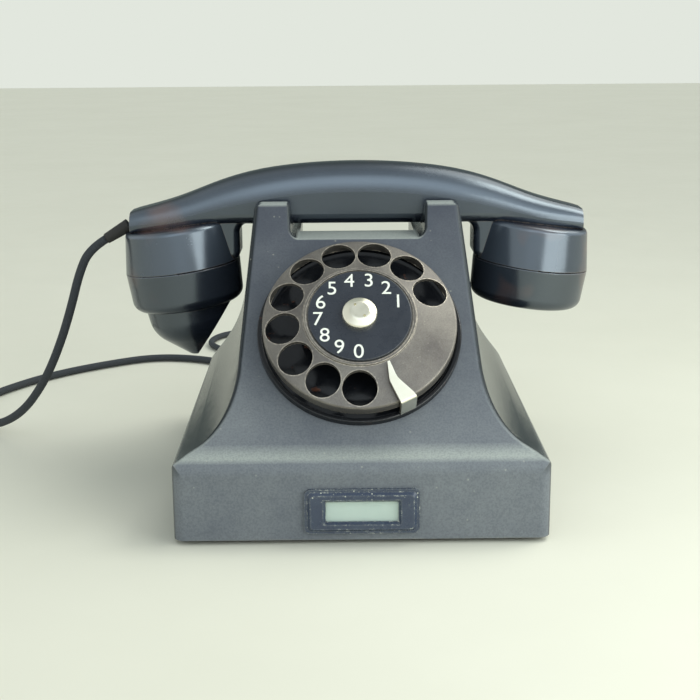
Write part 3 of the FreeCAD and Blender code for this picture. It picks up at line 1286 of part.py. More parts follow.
PIECES = {
    "casing": make_casing,
    "base_plate": make_base_plate,
    "base_screws": make_base_screws,
    "feet": make_feet,
    "card_frame": make_card_frame,
    "card": make_card,
    "card_window": make_card_window,
    "dial_case": lambda: on_dial(make_dial_case()),
    "dial_lock_ring": lambda: on_dial(make_lock_ring()),
    "trough_plate": lambda: on_dial(make_trough_plate()),
    "finger_stop": lambda: on_dial(make_finger_stop()),
    "finger_wheel": lambda: on_dial(make_finger_wheel()),
    "number_disc": lambda: on_dial(make_number_disc()),
    "centre_nut": lambda: on_dial(make_centre_nut()),
    "dial_shaft": lambda: on_dial(make_dial_shaft()),
    "main_gear": lambda: on_dial(make_main_gear()),
    "mainspring": lambda: on_dial(make_mainspring()),
    "dial_back_plate": lambda: on_dial(make_back_plate()),
    "impulse_spindle": lambda: on_dial(make_spindle(IMPULSE_ANGLE, PINION_R)),
    "impulse_pinion": lambda: on_dial(bored(make_pinion(PINION_TEETH, PINION_R, IMPULSE_ANGLE),
                                            IMPULSE_ANGLE, PINION_R)),
    "impulse_cam": lambda: on_dial(make_impulse_cam()),
    "pulse_contacts": lambda: on_dial(make_pulse_contacts()),
    "governor_spindle": lambda: on_dial(make_spindle(GOVERNOR_ANGLE, GOVERNOR_R)),
    "governor_pinion": lambda: on_dial(bored(make_pinion(GOVERNOR_TEETH, GOVERNOR_R, GOVERNOR_ANGLE),
                                             GOVERNOR_ANGLE, GOVERNOR_R)),
    "governor_weights": lambda: on_dial(make_governor_weights()),
    "governor_drum": lambda: on_dial(make_governor_drum()),
    "plunger_left": lambda: make_plunger(-1),
    "plunger_right": lambda: make_plunger(1),
    "plunger_guides": make_guides,
    "hook_lever": make_lever,
    "hook_bracket": make_hook_bracket,
    "hook_pin": make_hook_pin,
    "hook_contacts": make_hook_contacts,
    "gong_left": lambda: make_gong(-1),
    "gong_right": lambda: make_gong(1),
    "gong_posts": make_gong_posts,
    "gong_screws": make_gong_screws,
    "ringer_yoke": make_yoke,
    "ringer_cores": make_cores,
    "ringer_coils": make_coils,
    "clapper": make_clapper,
    "clapper_pin": make_clapper_pin,
    "induction_coil": make_induction_coil,
    "capacitor": make_capacitor,
    "terminal_block": make_terminal_block,
    "terminal_screws": make_terminal_screws,
    "handset_handle": make_handset_body,
    "ear_cap": make_ear_cap,
    "mouth_cap": make_mouth_cap,
    "receiver_unit": lambda: make_capsule(1),
    "transmitter_unit": lambda: make_capsule(-1),
    "handset_contacts": make_handset_contacts,
    "handset_cord_sleeve": make_cord_sleeve,
    "handset_cord": lambda: cord_tube(HANDSET_CORD_ROUTE, CORD_D),
    "handset_cord_gland": lambda: make_gland(HANDSET_GLAND_X, CORD_D),
    "line_cord_gland": lambda: make_gland(LINE_GLAND_X, LINE_D),
    "line_cord": lambda: cord_tube(LINE_CORD_ROUTE, LINE_D),
    "line_cord_coil": make_line_cord_coil,
    "coil_tie": make_coil_tie,
    "line_plug": make_plug,
}

os.makedirs("parts", exist_ok=True)
for name, make in PIECES.items():
    shape = make()
    if not shape.isValid():
        print("not valid:", name)
    shape.exportStep("parts/" + name + ".step")
print(len(PIECES), "nodes")
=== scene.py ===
# %% [markdown]
# A desk telephone with a finger-wheel dial, dressed for its portrait.
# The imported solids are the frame: every piece below sits on them, in metres, and nothing on them is moved.
# This lesson sets up the camera, lays the cords, paints every surface and lights a plain pale table.

# %% Load the frame
import bpy
import json
import math
from mathutils import Matrix, Vector


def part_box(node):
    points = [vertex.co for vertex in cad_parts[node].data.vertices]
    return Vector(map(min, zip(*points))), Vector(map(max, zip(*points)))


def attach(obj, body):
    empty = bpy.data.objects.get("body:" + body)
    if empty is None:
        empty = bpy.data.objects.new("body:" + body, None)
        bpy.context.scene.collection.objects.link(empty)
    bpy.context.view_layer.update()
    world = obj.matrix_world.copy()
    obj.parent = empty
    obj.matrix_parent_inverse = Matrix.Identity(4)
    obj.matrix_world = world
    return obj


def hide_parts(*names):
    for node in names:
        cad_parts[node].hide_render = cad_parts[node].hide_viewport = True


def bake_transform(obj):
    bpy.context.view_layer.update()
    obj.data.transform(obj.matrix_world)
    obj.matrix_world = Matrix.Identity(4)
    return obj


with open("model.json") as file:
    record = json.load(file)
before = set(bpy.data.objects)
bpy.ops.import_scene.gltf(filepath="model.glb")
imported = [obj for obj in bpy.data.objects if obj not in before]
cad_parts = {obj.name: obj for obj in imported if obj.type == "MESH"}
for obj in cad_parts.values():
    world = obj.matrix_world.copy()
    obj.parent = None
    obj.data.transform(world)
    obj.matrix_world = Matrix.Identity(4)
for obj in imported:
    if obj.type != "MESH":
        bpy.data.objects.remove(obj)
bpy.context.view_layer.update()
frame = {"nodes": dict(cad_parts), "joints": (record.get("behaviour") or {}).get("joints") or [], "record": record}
nodes = frame["nodes"]
bpy.context.scene.view_settings.view_transform = "Standard"
bpy.ops.object.select_all(action="DESELECT")

# %% [markdown]
# The picture is taken from a little above the dial, almost straight on, with a long lens.
# A camera can be placed by eye or worked out. Here its place and turn are known in the telephone's own frame,
# so the three directions of the camera are built from its yaw, pitch and roll.

# %% Camera
PICTURE_PX = 700
FOCAL_PX = 1300
SENSOR_MM = 36.0
CAMERA_PLACE = Vector((-0.0079, -0.5549, 0.1940))
NEAREST_SEEN = 0.01
YAW, PITCH, ROLL = (math.radians(a) for a in (0.45, 13.93, 0.42))


def camera_turn():
    """Axes of the camera as a turn: right, up and backwards."""
    forward = Vector((math.sin(YAW) * math.cos(PITCH), math.cos(YAW) * math.cos(PITCH), -math.sin(PITCH)))
    right = Vector((math.cos(YAW), -math.sin(YAW), 0.0))
    down = forward.cross(right)
    tipped_right = right * math.cos(ROLL) + down * math.sin(ROLL)
    tipped_down = down * math.cos(ROLL) - right * math.sin(ROLL)
    return Matrix((tipped_right, -tipped_down, -forward)).transposed()


bpy.ops.object.camera_add(location=CAMERA_PLACE, rotation=camera_turn().to_euler())
camera = bpy.context.object
camera.data.sensor_width = SENSOR_MM
camera.data.lens = SENSOR_MM * FOCAL_PX / PICTURE_PX
camera.data.clip_start = NEAREST_SEEN
bpy.context.scene.camera = camera
print("lens", round(camera.data.lens, 2), "mm")

# %% [markdown]
# The cords are limp braided cords. One runs from the handset down to the table, round the left side and back
# into the telephone. The other leaves the rear, and its spare length is wound in a tied coil behind it.
# A cord could be simulated, but its lie is known, so each is one smooth spline through a few route points.
# A tube is then swept along points read back from that spline, with its own map for the braid to follow.

# %% Points read from a route
SPLINE_STEPS = 10
SPLINE_ORDER = 3


def smooth_points(name, route):
    """Evaluated points of an open NURBS spline that has the route as its control points."""
    curve = bpy.data.curves.new(name, "CURVE")
    curve.dimensions = "3D"
    curve.resolution_u = SPLINE_STEPS
    spline = curve.splines.new("NURBS")
    spline.points.add(len(route) - 1)
    for point, place in zip(spline.points, route):
        point.co = (*place, 1.0)
    spline.order_u = SPLINE_ORDER
    spline.use_endpoint_u = True
    holder = bpy.data.objects.new(name, curve)
    line = bpy.data.meshes.new_from_object(holder)
    points = [v.co.copy() for v in line.vertices]
    bpy.data.objects.remove(holder)
    bpy.data.meshes.remove(line)
    return points


def length_of(points):
    return sum((b - a).length for a, b in zip(points, points[1:]))


# %% A tube along points
TUBE_SIDES = 14


def sections(points):
    """Direction and sideways vector at each point, turned as little as possible along the way."""
    count = len(points)
    ways = [(points[min(i + 1, count - 1)] - points[max(i - 1, 0)]).normalized() for i in range(count)]
    side = ways[0].orthogonal().normalized()
    frames = []
    for before, way in zip([ways[0]] + ways, ways):
        side = before.rotation_difference(way) @ side
        frames.append((way, side.normalized()))
    return frames


def tube(name, points, diameter):
    """Closed mesh tube whose map runs round it in u and along it, in tube widths, in v."""
    radius = diameter / 2
    corners, faces, maps = [], [], []
    for point, (way, side) in zip(points, sections(points)):
        for k in range(TUBE_SIDES):
            turn = Matrix.Rotation(2 * math.pi * k / TUBE_SIDES, 3, way)
            corners.append(point + turn @ side * radius)
    along = [0.0]
    for a, b in zip(points, points[1:]):
        along.append(along[-1] + (b - a).length / diameter)
    for i in range(len(points) - 1):
        for k in range(TUBE_SIDES):
            n = (k + 1) % TUBE_SIDES
            ring, above = i * TUBE_SIDES, (i + 1) * TUBE_SIDES
            faces.append((ring + k, ring + n, above + n, above + k))
            u0, u1 = k / TUBE_SIDES, (k + 1) / TUBE_SIDES
            maps += [(u0, along[i]), (u1, along[i]), (u1, along[i + 1]), (u0, along[i + 1])]
    last = (len(points) - 1) * TUBE_SIDES
    faces.append(tuple(reversed(range(TUBE_SIDES))))
    faces.append(tuple(last + k for k in range(TUBE_SIDES)))
    maps += [(0.0, 0.0)] * (2 * TUBE_SIDES)
    mesh = bpy.data.meshes.new(name)
    mesh.from_pydata(corners, [], faces)
    layer = mesh.uv_layers.new(name="braid")
    for loop, spot in zip(layer.data, maps):
        loop.uv = spot
    mesh.shade_smooth()
    piece = bpy.data.objects.new(name, mesh)
    bpy.context.collection.objects.link(piece)
    print(name, "length", round(length_of(points), 3), "m,", len(mesh.polygons), "faces")
    return piece


# %% Handset cord
MM = 0.001
HANDSET_CORD_D = 0.004
HANDSET_CORD_ROUTE = [Vector(p) * MM for p in (
    (-112.92, 29, 102.18), (-121.1, 29, 97.3), (-126.5, 29.5, 86), (-131, 31, 71), (-138, 34, 52),
    (-148, 40, 32), (-162, 49, 14), (-180, 63, 3.3), (-196, 84, 2.3), (-202, 112, 2.3), (-190, 139, 2.3),
    (-172, 166, 2.3), (-146, 189, 2.3), (-118, 206, 2.3), (-86, 198, 2.3), (-60, 175, 2.3), (-42, 147, 2.3),
    (-32, 122, 5.3), (-28, 104, 13), (-28, 87.5, 13))]
handset_path = smooth_points("handset_cord_line", HANDSET_CORD_ROUTE)
handset_cord = tube("handset_cord_braid", handset_path, HANDSET_CORD_D)
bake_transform(handset_cord)
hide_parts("handset_cord")

# %% [markdown]
# The line cord's spare length is a coil of two layers: in along the lower one, up in half a turn, and out
# along the upper. A coil is a formula rather than a list, so a loop works out its turns for the same spline.

# %% Line cord with its coil
LINE_CORD_D = 0.0036
LINE_CORD_ROUTE = [Vector(p) * MM for p in (
    (4, 87.5, 13), (4, 104, 13), (1, 125, 5.1), (-9, 152, 2.1), (-27, 181, 2.1), (-55, 203, 2.1),
    (-79, 219, 2.1), (-92, 243, 2.1), (-81, 268, 2.1), (-52, 277, 2.1), (-22, 263, 2.1), (-1, 240, 2.1),
    (9, 213, 2.1), (14.6, 187, 2.1))]
COIL_CENTRE = Vector((45, 157, 2.1)) * MM
COIL_OUTER, COIL_STEP, COIL_LAYER, COIL_TAIL = (v * MM for v in (30.4, 4.7, 4.3, 21.0))
LAYER_TURNS, CLIMB_TURNS, POINTS_A_TURN = 4, 0.5, 16


def coil_point(turns):
    """Middle of the cord after some turns of the coil."""
    inner = COIL_OUTER - COIL_STEP * LAYER_TURNS
    radius, level = inner, 1.0
    if turns <= LAYER_TURNS:
        radius, level = COIL_OUTER - COIL_STEP * turns, 0.0
    elif turns <= LAYER_TURNS + CLIMB_TURNS:
        level = (1 - math.cos(math.pi * (turns - LAYER_TURNS) / CLIMB_TURNS)) / 2
    else:
        radius = inner + COIL_STEP * (turns - LAYER_TURNS - CLIMB_TURNS)
    angle = 2 * math.pi * (turns + 0.5)
    return COIL_CENTRE + Vector((radius * math.cos(angle), radius * math.sin(angle), level * COIL_LAYER))


coil_turns = 2 * LAYER_TURNS
coil = [coil_point(i / POINTS_A_TURN) for i in range(coil_turns * POINTS_A_TURN + 1)]
tail = [coil[-1] - Vector((0, COIL_TAIL * share, 0)) for share in (0.5, 1.0)]
line_path = smooth_points("line_cord_line", LINE_CORD_ROUTE + coil + tail)
line_cord = tube("line_cord_braid", line_path, LINE_CORD_D)
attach(line_cord, "base")
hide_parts("line_cord", "line_cord_coil")

# %% [markdown]
# A flat tape holds the coil. It could be a ring of cloth, but a short strip folded round the bundle is used:
# a box the size of the bundle, opened at both ends, with its corners rolled and its wall as thick as cloth.

# %% Coil tie
TAPE_T = 0.0005
TAPE_CORNER = 0.0022
TAPE_CORNER_STEPS = 5
END_FACING = 0.9
SMOOTH_UNDER = math.radians(40)


def select_by(kind):
    """Take faces or edges as what is selected, with none of them selected yet."""
    bpy.ops.object.mode_set(mode="EDIT")
    bpy.ops.mesh.select_mode(type=kind)
    bpy.ops.mesh.select_all(action="DESELECT")
    bpy.ops.object.mode_set(mode="OBJECT")


def add_box(name, low, high):
    """A box piece between two corners, with its place in its mesh."""
    bpy.ops.object.select_all(action="DESELECT")
    bpy.ops.mesh.primitive_cube_add(size=1.0)
    piece = bpy.context.object
    piece.name = piece.data.name = name
    size, middle = high - low, (low + high) / 2
    piece.data.transform(Matrix.Translation(middle) @ Matrix.Diagonal((*size, 1.0)))
    return piece


low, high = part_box("coil_tie")
tie = add_box("coil_tie_tape", low + Vector((0, 0, TAPE_T / 2)), high)
select_by("FACE")
for face in tie.data.polygons:
    face.select = abs(face.normal.x) > END_FACING
bpy.ops.object.mode_set(mode="EDIT")
bpy.ops.mesh.delete(type="FACE")
bpy.ops.object.mode_set(mode="OBJECT")
select_by("EDGE")
for edge in tie.data.edges:
    a, b = (tie.data.vertices[v].co for v in edge.vertices)
    edge.select = abs((a - b).x) > TAPE_T
bpy.ops.object.mode_set(mode="EDIT")
bpy.ops.mesh.bevel(offset=TAPE_CORNER, segments=TAPE_CORNER_STEPS)
bpy.ops.object.mode_set(mode="OBJECT")
thick = tie.modifiers.new("wall", "SOLIDIFY")
thick.thickness = TAPE_T
thick.offset = -1
bpy.ops.object.modifier_apply(modifier="wall")
bpy.ops.object.shade_smooth_by_angle(angle=SMOOTH_UNDER)
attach(tie, "base")
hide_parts("coil_tie")
print("tape round the coil has", len(tie.data.polygons), "faces")

# %% [markdown]
# The numbers are printed on the dark disc in pale enamel, upright, one for each finger hole.
# They could be a picture, but a picture blurs up close, so each is a text made into a thin raised mesh.

# %% Numbers on the disc
dial_turn = next(j for j in frame["joints"] if j["name"] == "dial_turn")
dial_axis = -Vector(dial_turn["axis"]).normalized()
dial_up = Vector((0, dial_axis.z, -dial_axis.y))
dial_place = Matrix((Vector((1, 0, 0)), dial_up, dial_axis)).transposed().to_4x4()
dial_place.translation = Vector(dial_turn["pos_m"])
NUMBER_CIRCLE_R = 0.0166
FIRST_NUMBER_ANGLE, NUMBER_STEP = 68.0, 27.32
NUMBER_SIZE = 0.0088
PAINT_T = 0.00006
DISC_TOP = 0.0055


def add_number(text, angle):
    """One upright number at an angle clockwise from the top of the disc."""
    bpy.ops.object.select_all(action="DESELECT")
    bpy.ops.object.text_add()
    number = bpy.context.object
    number.data.body = text
    number.data.align_x, number.data.align_y = "CENTER", "CENTER"
    number.data.size = NUMBER_SIZE
    number.data.extrude = PAINT_T
    bpy.ops.object.convert(target="MESH")
    middle = sum((Vector(c) for c in number.bound_box), Vector()) / 8
    turn = math.radians(angle)
    spot = Vector((math.sin(turn), math.cos(turn), 0)) * NUMBER_CIRCLE_R + Vector((0, 0, DISC_TOP))
    number.data.transform(dial_place @ Matrix.Translation(spot - Vector((middle.x, middle.y, 0))))
    return number


numbers = [add_number(text, FIRST_NUMBER_ANGLE - i * NUMBER_STEP) for i, text in enumerate("1234567890")]
for number in numbers:
    number.select_set(True)
bpy.context.view_layer.objects.active = numbers[0]
bpy.ops.object.join()
dial_numbers = bpy.context.object
dial_numbers.name = dial_numbers.data.name = "dial_numbers"
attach(dial_numbers, "dial")
print("numbers have", len(dial_numbers.data.polygons), "faces")

# %% [markdown]
# Every surface is painted with nodes. A few helpers keep that readable: one adds a node with its values and
# links, one turns a colour as it is seen on screen into the linear values that a shader takes.

# %% Node helpers
def seen(red, green, blue):
    """A colour as a screen shows it, 0 to 255, as the shader's linear colour."""
    def linear(v):
        v /= 255
        return v / 12.92 if v <= 0.04045 else ((v + 0.055) / 1.055) ** 2.4
    return (linear(red), linear(green), linear(blue), 1.0)


def add(tree, kind, values=None, **settings):
    """A shader node with settings, and with values or links put into its sockets by name or number."""
    made = tree.nodes.new("ShaderNode" + kind)
    for key, value in settings.items():
        setattr(made, key, value)
    for key, value in (values or {}).items():
        if isinstance(value, bpy.types.NodeSocket):
            tree.links.new(value, made.inputs[key])
        else:
            made.inputs[key].default_value = value
    return made


def blend_colour(tree, share, first, second):
    """Colour between two, by a share from 0 to 1."""
    return add(tree, "Mix", {0: share, 6: first, 7: second}, data_type="RGBA").outputs[2]


def ramp(tree, value, low, high, start, end):
    """A value carried from one range to another, and held at its ends."""
    values = {"Value": value, "From Min": low, "From Max": high, "To Min": start, "To Max": end}
    return add(tree, "MapRange", values).outputs[0]


def math_node(tree, operation, first, second=0.0):
    return add(tree, "Math", {0: first, 1: second}, operation=operation).outputs[0]


def own_place(tree):
    return add(tree, "TexCoord").outputs["Object"]


CLOUD_ROUGHNESS = 0.6


def cloud(tree, scale, detail=3.0):
    """Noise over the piece, with features about one part in scale of a metre."""
    values = {"Vector": own_place(tree), "Scale": scale, "Detail": detail, "Roughness": CLOUD_ROUGHNESS}
    return add(tree, "TexNoise", values).outputs[0]


# %% [markdown]
# Three effects are shared by many finishes: edges rubbed pale, specks of dust, and soft clouds of handling.
# Each is a node group, so a finish sets only how much of it shows and how large it is.

# %% Shared effects
def new_group(name, inputs, outputs):
    tree = bpy.data.node_groups.new(name, "ShaderNodeTree")
    for label, value in inputs.items():
        socket = tree.interface.new_socket(label, in_out="INPUT", socket_type="NodeSocketFloat")
        socket.default_value = value
    for label in outputs:
        tree.interface.new_socket(label, in_out="OUTPUT", socket_type="NodeSocketFloat")
    return tree, tree.nodes.new("NodeGroupInput"), tree.nodes.new("NodeGroupOutput")


def make_edge_wear():
    """Mask of rubbed edges: where a rounded normal departs from the true one, broken up by noise."""
    tree, given, out = new_group("edge_wear", {"Width": 0.0006, "Grain": 900.0}, ["Mask"])
    soft = add(tree, "Bevel", {"Radius": given.outputs["Width"]}, samples=4)
    true = add(tree, "NewGeometry").outputs["Normal"]
    dot = add(tree, "VectorMath", {0: soft.outputs[0], 1: true}, operation="DOT_PRODUCT").outputs["Value"]
    bend = ramp(tree, dot, 0.995, 0.86, 0.0, 1.0)
    noise = add(tree, "TexNoise", {"Vector": own_place(tree), "Scale": given.outputs["Grain"], "Detail": 4.0})
    broken = ramp(tree, noise.outputs[0], 0.38, 0.62, 0.25, 1.0)
    tree.links.new(math_node(tree, "MULTIPLY", bend, broken), out.inputs["Mask"])
    return tree


def make_specks():
    """Mask of small pale specks scattered over a surface."""
    tree, given, out = new_group("specks", {"Scale": 700.0, "Share": 0.1}, ["Mask"])
    cells = add(tree, "TexVoronoi", {"Vector": own_place(tree), "Scale": given.outputs["Scale"]})
    near = ramp(tree, cells.outputs["Distance"], 0.10, 0.22, 1.0, 0.0)
    lot = add(tree, "SeparateColor", {0: cells.outputs["Color"]}).outputs[0]
    chosen = math_node(tree, "LESS_THAN", lot, given.outputs["Share"])
    tree.links.new(math_node(tree, "MULTIPLY", near, chosen), out.inputs["Mask"])
    return tree


def make_handling():
    """Soft uneven clouds, from coarse to fine, that shift a colour and a polish."""
    tree, given, out = new_group("handling", {"Scale": 30.0}, ["Cloud", "Grain"])
    coarse = add(tree, "TexNoise", {"Vector": own_place(tree), "Scale": given.outputs["Scale"], "Detail": 6.0,
                                    "Roughness": 0.65})
    fine_scale = math_node(tree, "MULTIPLY", given.outputs["Scale"], 55.0)
    fine = add(tree, "TexNoise", {"Vector": own_place(tree), "Scale": fine_scale, "Detail": 2.0})
    tree.links.new(ramp(tree, coarse.outputs[0], 0.3, 0.7, 0.0, 1.0), out.inputs["Cloud"])
    tree.links.new(fine.outputs[0], out.inputs["Grain"])
    return tree


GROUPS = {"wear": make_edge_wear(), "specks": make_specks(), "handling": make_handling()}


def effect(tree, name, values):
    made = tree.nodes.new("ShaderNodeGroup")
    made.node_tree = GROUPS[name]
    for key, value in values.items():
        made.inputs[key].default_value = value
    return made


def new_finish(name):
    """A material, its node tree and its shader."""
    finish = bpy.data.materials.new(name)
    finish.use_nodes = True
    tree = finish.node_tree
    return finish, tree, tree.nodes["Principled BSDF"]


def connect(tree, shader, colour=None, roughness=None, height=None, bump=0.2, depth=0.0002):
    """Link a finish's changing colour, roughness and relief to its shader."""
    if colour is not None:
        tree.links.new(colour, shader.inputs["Base Color"])
    if roughness is not None:
        tree.links.new(roughness, shader.inputs["Roughness"])
    if height is not None:
        relief = add(tree, "Bump", {"Height": height, "Strength": bump, "Distance": depth})
        tree.links.new(relief.outputs[0], shader.inputs["Normal"])


print("shared effects:", ", ".join(sorted(GROUPS)))

# %% [markdown]
# The casing is old moulded resin. Years of hands and dusters left its sloped front dull and mottled, while
# its sides kept their gloss. So the polish follows which way a surface faces, and rubbed edges turn pale.
# The front is painted darker towards the top, a painted shade under the handset, and what faces up is painted
# paler, a painted sheen.

# %% Casing finish
def make_bakelite():
    finish, tree, shader = new_finish("dull_resin")
    handled = effect(tree, "handling", {"Scale": 26.0})
    wear = effect(tree, "wear", {"Width": 0.0011, "Grain": 600.0}).outputs["Mask"]
    dust = effect(tree, "specks", {"Scale": 420.0, "Share": 0.06}).outputs["Mask"]
    # Painted shade: the casing is coloured darker towards the top, where the handset shades the tower and prongs.
    height = add(tree, "SeparateXYZ", {0: own_place(tree)}).outputs[2]
    high = ramp(tree, height, 0.03, 0.12, 0.0, 1.0)
    dull = blend_colour(tree, high, seen(108, 113, 120), seen(66, 70, 80))
    pale = blend_colour(tree, high, seen(128, 133, 136), seen(84, 88, 96))
    body = blend_colour(tree, handled.outputs["Cloud"], dull, pale)
    # Painted sheen: surfaces that face up are coloured paler, as where they catch the light from above.
    facing = add(tree, "SeparateXYZ", {0: add(tree, "TexCoord").outputs["Normal"]})
    painted_sheen = ramp(tree, facing.outputs[2], 0.70, 0.94, 0.0, 0.75)
    body = blend_colour(tree, painted_sheen, body, seen(170, 177, 171))
    across = math_node(tree, "ABSOLUTE", facing.outputs[0])
    tower_side = ramp(tree, across, 0.16, 0.45, 0.0, 1.0)
    plinth_side = ramp(tree, across, 0.75, 0.98, 0.0, 1.0)
    above = ramp(tree, height, 0.027, 0.034, 0.0, 1.0)
    sideways = add(tree, "Mix", {0: above, 2: plinth_side, 3: tower_side}).outputs[0]
    body = blend_colour(tree, sideways, body, seen(30, 36, 38))
    rubbed = blend_colour(tree, math_node(tree, "MULTIPLY", wear, 0.5), body, seen(150, 148, 136))
    colour = blend_colour(tree, math_node(tree, "MULTIPLY", dust, 0.35), rubbed, seen(190, 190, 176))
    fine = ramp(tree, handled.outputs["Grain"], 0.4, 0.64, 0.0, 0.22)
    colour = blend_colour(tree, fine, colour, seen(58, 58, 70))
    matt = ramp(tree, handled.outputs["Cloud"], 0.0, 1.0, 0.42, 0.58)
    roughness = add(tree, "Mix", {0: sideways, 2: matt, 3: 0.22}).outputs[0]
    shader.inputs["Specular Tint"].default_value = (0.22, 0.28, 0.31, 1.0)
    connect(tree, shader, colour, roughness, handled.outputs["Grain"], bump=0.12)
    return finish


# %% [markdown]
# The handset and its caps are the same resin, polished by hands: deep and glossy, with a brown cast where
# the dark top layer has thinned, and small pale chips along the rims.

# %% Handset finish
def make_handset_resin():
    finish, tree, shader = new_finish("polished_resin")
    handled = effect(tree, "handling", {"Scale": 18.0})
    wear = effect(tree, "wear", {"Width": 0.0009, "Grain": 700.0}).outputs["Mask"]
    # Painted sheen: surfaces that face partly up, most where they tilt about halfway between front and up, are
    # coloured a paler bluish grey.
    upward = add(tree, "SeparateXYZ", {0: add(tree, "TexCoord").outputs["Normal"]}).outputs[2]
    tilt = math_node(tree, "ABSOLUTE", math_node(tree, "SUBTRACT", upward, 0.4))
    painted_sheen = ramp(tree, tilt, 0.05, 0.5, 0.45, 0.0)
    deep = blend_colour(tree, handled.outputs["Cloud"], seen(10, 13, 23), seen(28, 33, 45))
    body = blend_colour(tree, painted_sheen, deep, seen(104, 115, 128))
    browning = ramp(tree, cloud(tree, 34.0, 2.0), 0.58, 0.74, 0.0, 0.55)
    warm = blend_colour(tree, browning, body, seen(112, 78, 62))
    colour = blend_colour(tree, math_node(tree, "MULTIPLY", wear, 0.55), warm, seen(140, 122, 106))
    shader.inputs["IOR"].default_value = 2.1
    shader.inputs["Specular Tint"].default_value = (0.78, 0.89, 1.0, 1.0)
    roughness = ramp(tree, handled.outputs["Cloud"], 0.0, 1.0, 0.16, 0.32)
    connect(tree, shader, colour, roughness, handled.outputs["Grain"], bump=0.05)
    return finish


# %% [markdown]
# The card holder is a newer glossy moulding with a bluish black skin, scratched pale along its upper steps.

# %% Card holder finishes
def make_frame_plastic():
    finish, tree, shader = new_finish("card_holder_plastic")
    wear = effect(tree, "wear", {"Width": 0.0009, "Grain": 1500.0}).outputs["Mask"]
    chips = ramp(tree, cloud(tree, 700.0, 5.0), 0.54, 0.62, 0.0, 1.0)
    rubbed = math_node(tree, "MULTIPLY", wear, math_node(tree, "ADD", chips, 0.2))
    height = add(tree, "SeparateXYZ", {0: own_place(tree)}).outputs[2]
    upper = ramp(tree, height, 0.0165, 0.019, 0.0, 1.0)
    flakes = effect(tree, "specks", {"Scale": 620.0, "Share": 0.4}).outputs["Mask"]
    pale = math_node(tree, "MAXIMUM", rubbed, math_node(tree, "MULTIPLY", flakes, upper))
    body = blend_colour(tree, cloud(tree, 120.0), seen(44, 54, 76), seen(70, 80, 96))
    colour = blend_colour(tree, pale, body, seen(206, 210, 196))
    connect(tree, shader, colour, ramp(tree, cloud(tree, 300.0), 0.3, 0.7, 0.18, 0.34))
    return finish


def make_card_paper():
    finish, tree, shader = new_finish("blank_card")
    colour = blend_colour(tree, cloud(tree, 90.0, 5.0), seen(182, 202, 194), seen(200, 214, 205))
    shader.inputs["Roughness"].default_value = 0.7
    connect(tree, shader, colour, None, cloud(tree, 5000.0), bump=0.1)
    return finish


def make_clear_window():
    finish, tree, shader = new_finish("clear_window")
    shader.inputs["Base Color"].default_value = (0.97, 0.99, 0.98, 1.0)
    shader.inputs["Transmission Weight"].default_value = 1.0
    shader.inputs["IOR"].default_value = 1.2
    connect(tree, shader, None, ramp(tree, cloud(tree, 160.0, 5.0), 0.35, 0.75, 0.02, 0.12))
    rays = add(tree, "LightPath").outputs
    passing = math_node(tree, "MAXIMUM", rays["Is Shadow Ray"], rays["Is Diffuse Ray"])
    clear = add(tree, "BsdfTransparent")
    both = add(tree, "MixShader", {0: passing, 1: shader.outputs[0], 2: clear.outputs[0]})
    tree.links.new(both.outputs[0], tree.nodes["Material Output"].inputs["Surface"])
    return finish


# %% [markdown]
# The dial is metal under worn lacquer: the wheel dull and brownish, bright where fingers rub the rims of its
# holes; the trough below it black and glossy; the number disc a dark blue enamel.

# %% Dial finishes
def make_worn_bronze():
    finish, tree, shader = new_finish("worn_wheel")
    handled = effect(tree, "handling", {"Scale": 60.0})
    wear = effect(tree, "wear", {"Width": 0.0008, "Grain": 800.0}).outputs["Mask"]
    dark = blend_colour(tree, handled.outputs["Cloud"], seen(108, 104, 102), seen(144, 140, 132))
    specked = effect(tree, "specks", {"Scale": 900.0, "Share": 0.18}).outputs["Mask"]
    grainy = ramp(tree, handled.outputs["Grain"], 0.42, 0.62, 0.0, 0.45)
    grained = blend_colour(tree, grainy, dark, seen(84, 76, 70))
    body = blend_colour(tree, math_node(tree, "MULTIPLY", specked, 0.5), grained, seen(176, 170, 156))
    colour = blend_colour(tree, wear, body, seen(226, 216, 198))
    shader.inputs["Metallic"].default_value = 0.75
    roughness = ramp(tree, handled.outputs["Cloud"], 0.0, 1.0, 0.36, 0.5)
    connect(tree, shader, colour, roughness, handled.outputs["Grain"], bump=0.2)
    return finish


def make_black_enamel():
    finish, tree, shader = new_finish("trough_enamel")
    body = blend_colour(tree, cloud(tree, 80.0), seen(12, 14, 18), seen(26, 28, 32))
    rust = ramp(tree, cloud(tree, 140.0, 4.0), 0.64, 0.72, 0.0, 0.4)
    shader.inputs["Specular IOR Level"].default_value = 0.45
    connect(tree, shader, blend_colour(tree, rust, body, seen(120, 74, 52)),
            ramp(tree, cloud(tree, 200.0), 0.3, 0.7, 0.12, 0.28))
    return finish


def make_number_enamel():
    finish, tree, shader = new_finish("number_disc_enamel")
    wear = effect(tree, "wear", {"Width": 0.0004, "Grain": 1200.0}).outputs["Mask"]
    body = blend_colour(tree, cloud(tree, 160.0, 4.0), seen(36, 41, 50), seen(51, 56, 65))
    connect(tree, shader, blend_colour(tree, wear, body, seen(140, 140, 130)),
            ramp(tree, cloud(tree, 300.0), 0.3, 0.7, 0.22, 0.36))
    return finish


def make_number_paint():
    finish, tree, shader = new_finish("number_paint")
    colour = blend_colour(tree, cloud(tree, 900.0, 3.0), seen(228, 232, 218), seen(244, 248, 240))
    shader.inputs["Roughness"].default_value = 0.5
    connect(tree, shader, colour)
    return finish


# %% [markdown]
# Bright and plain metals share one recipe: a base colour, a polish that wanders and a fine grained relief.

# %% Metals and inner pieces
METAL_GRAIN = 0.1


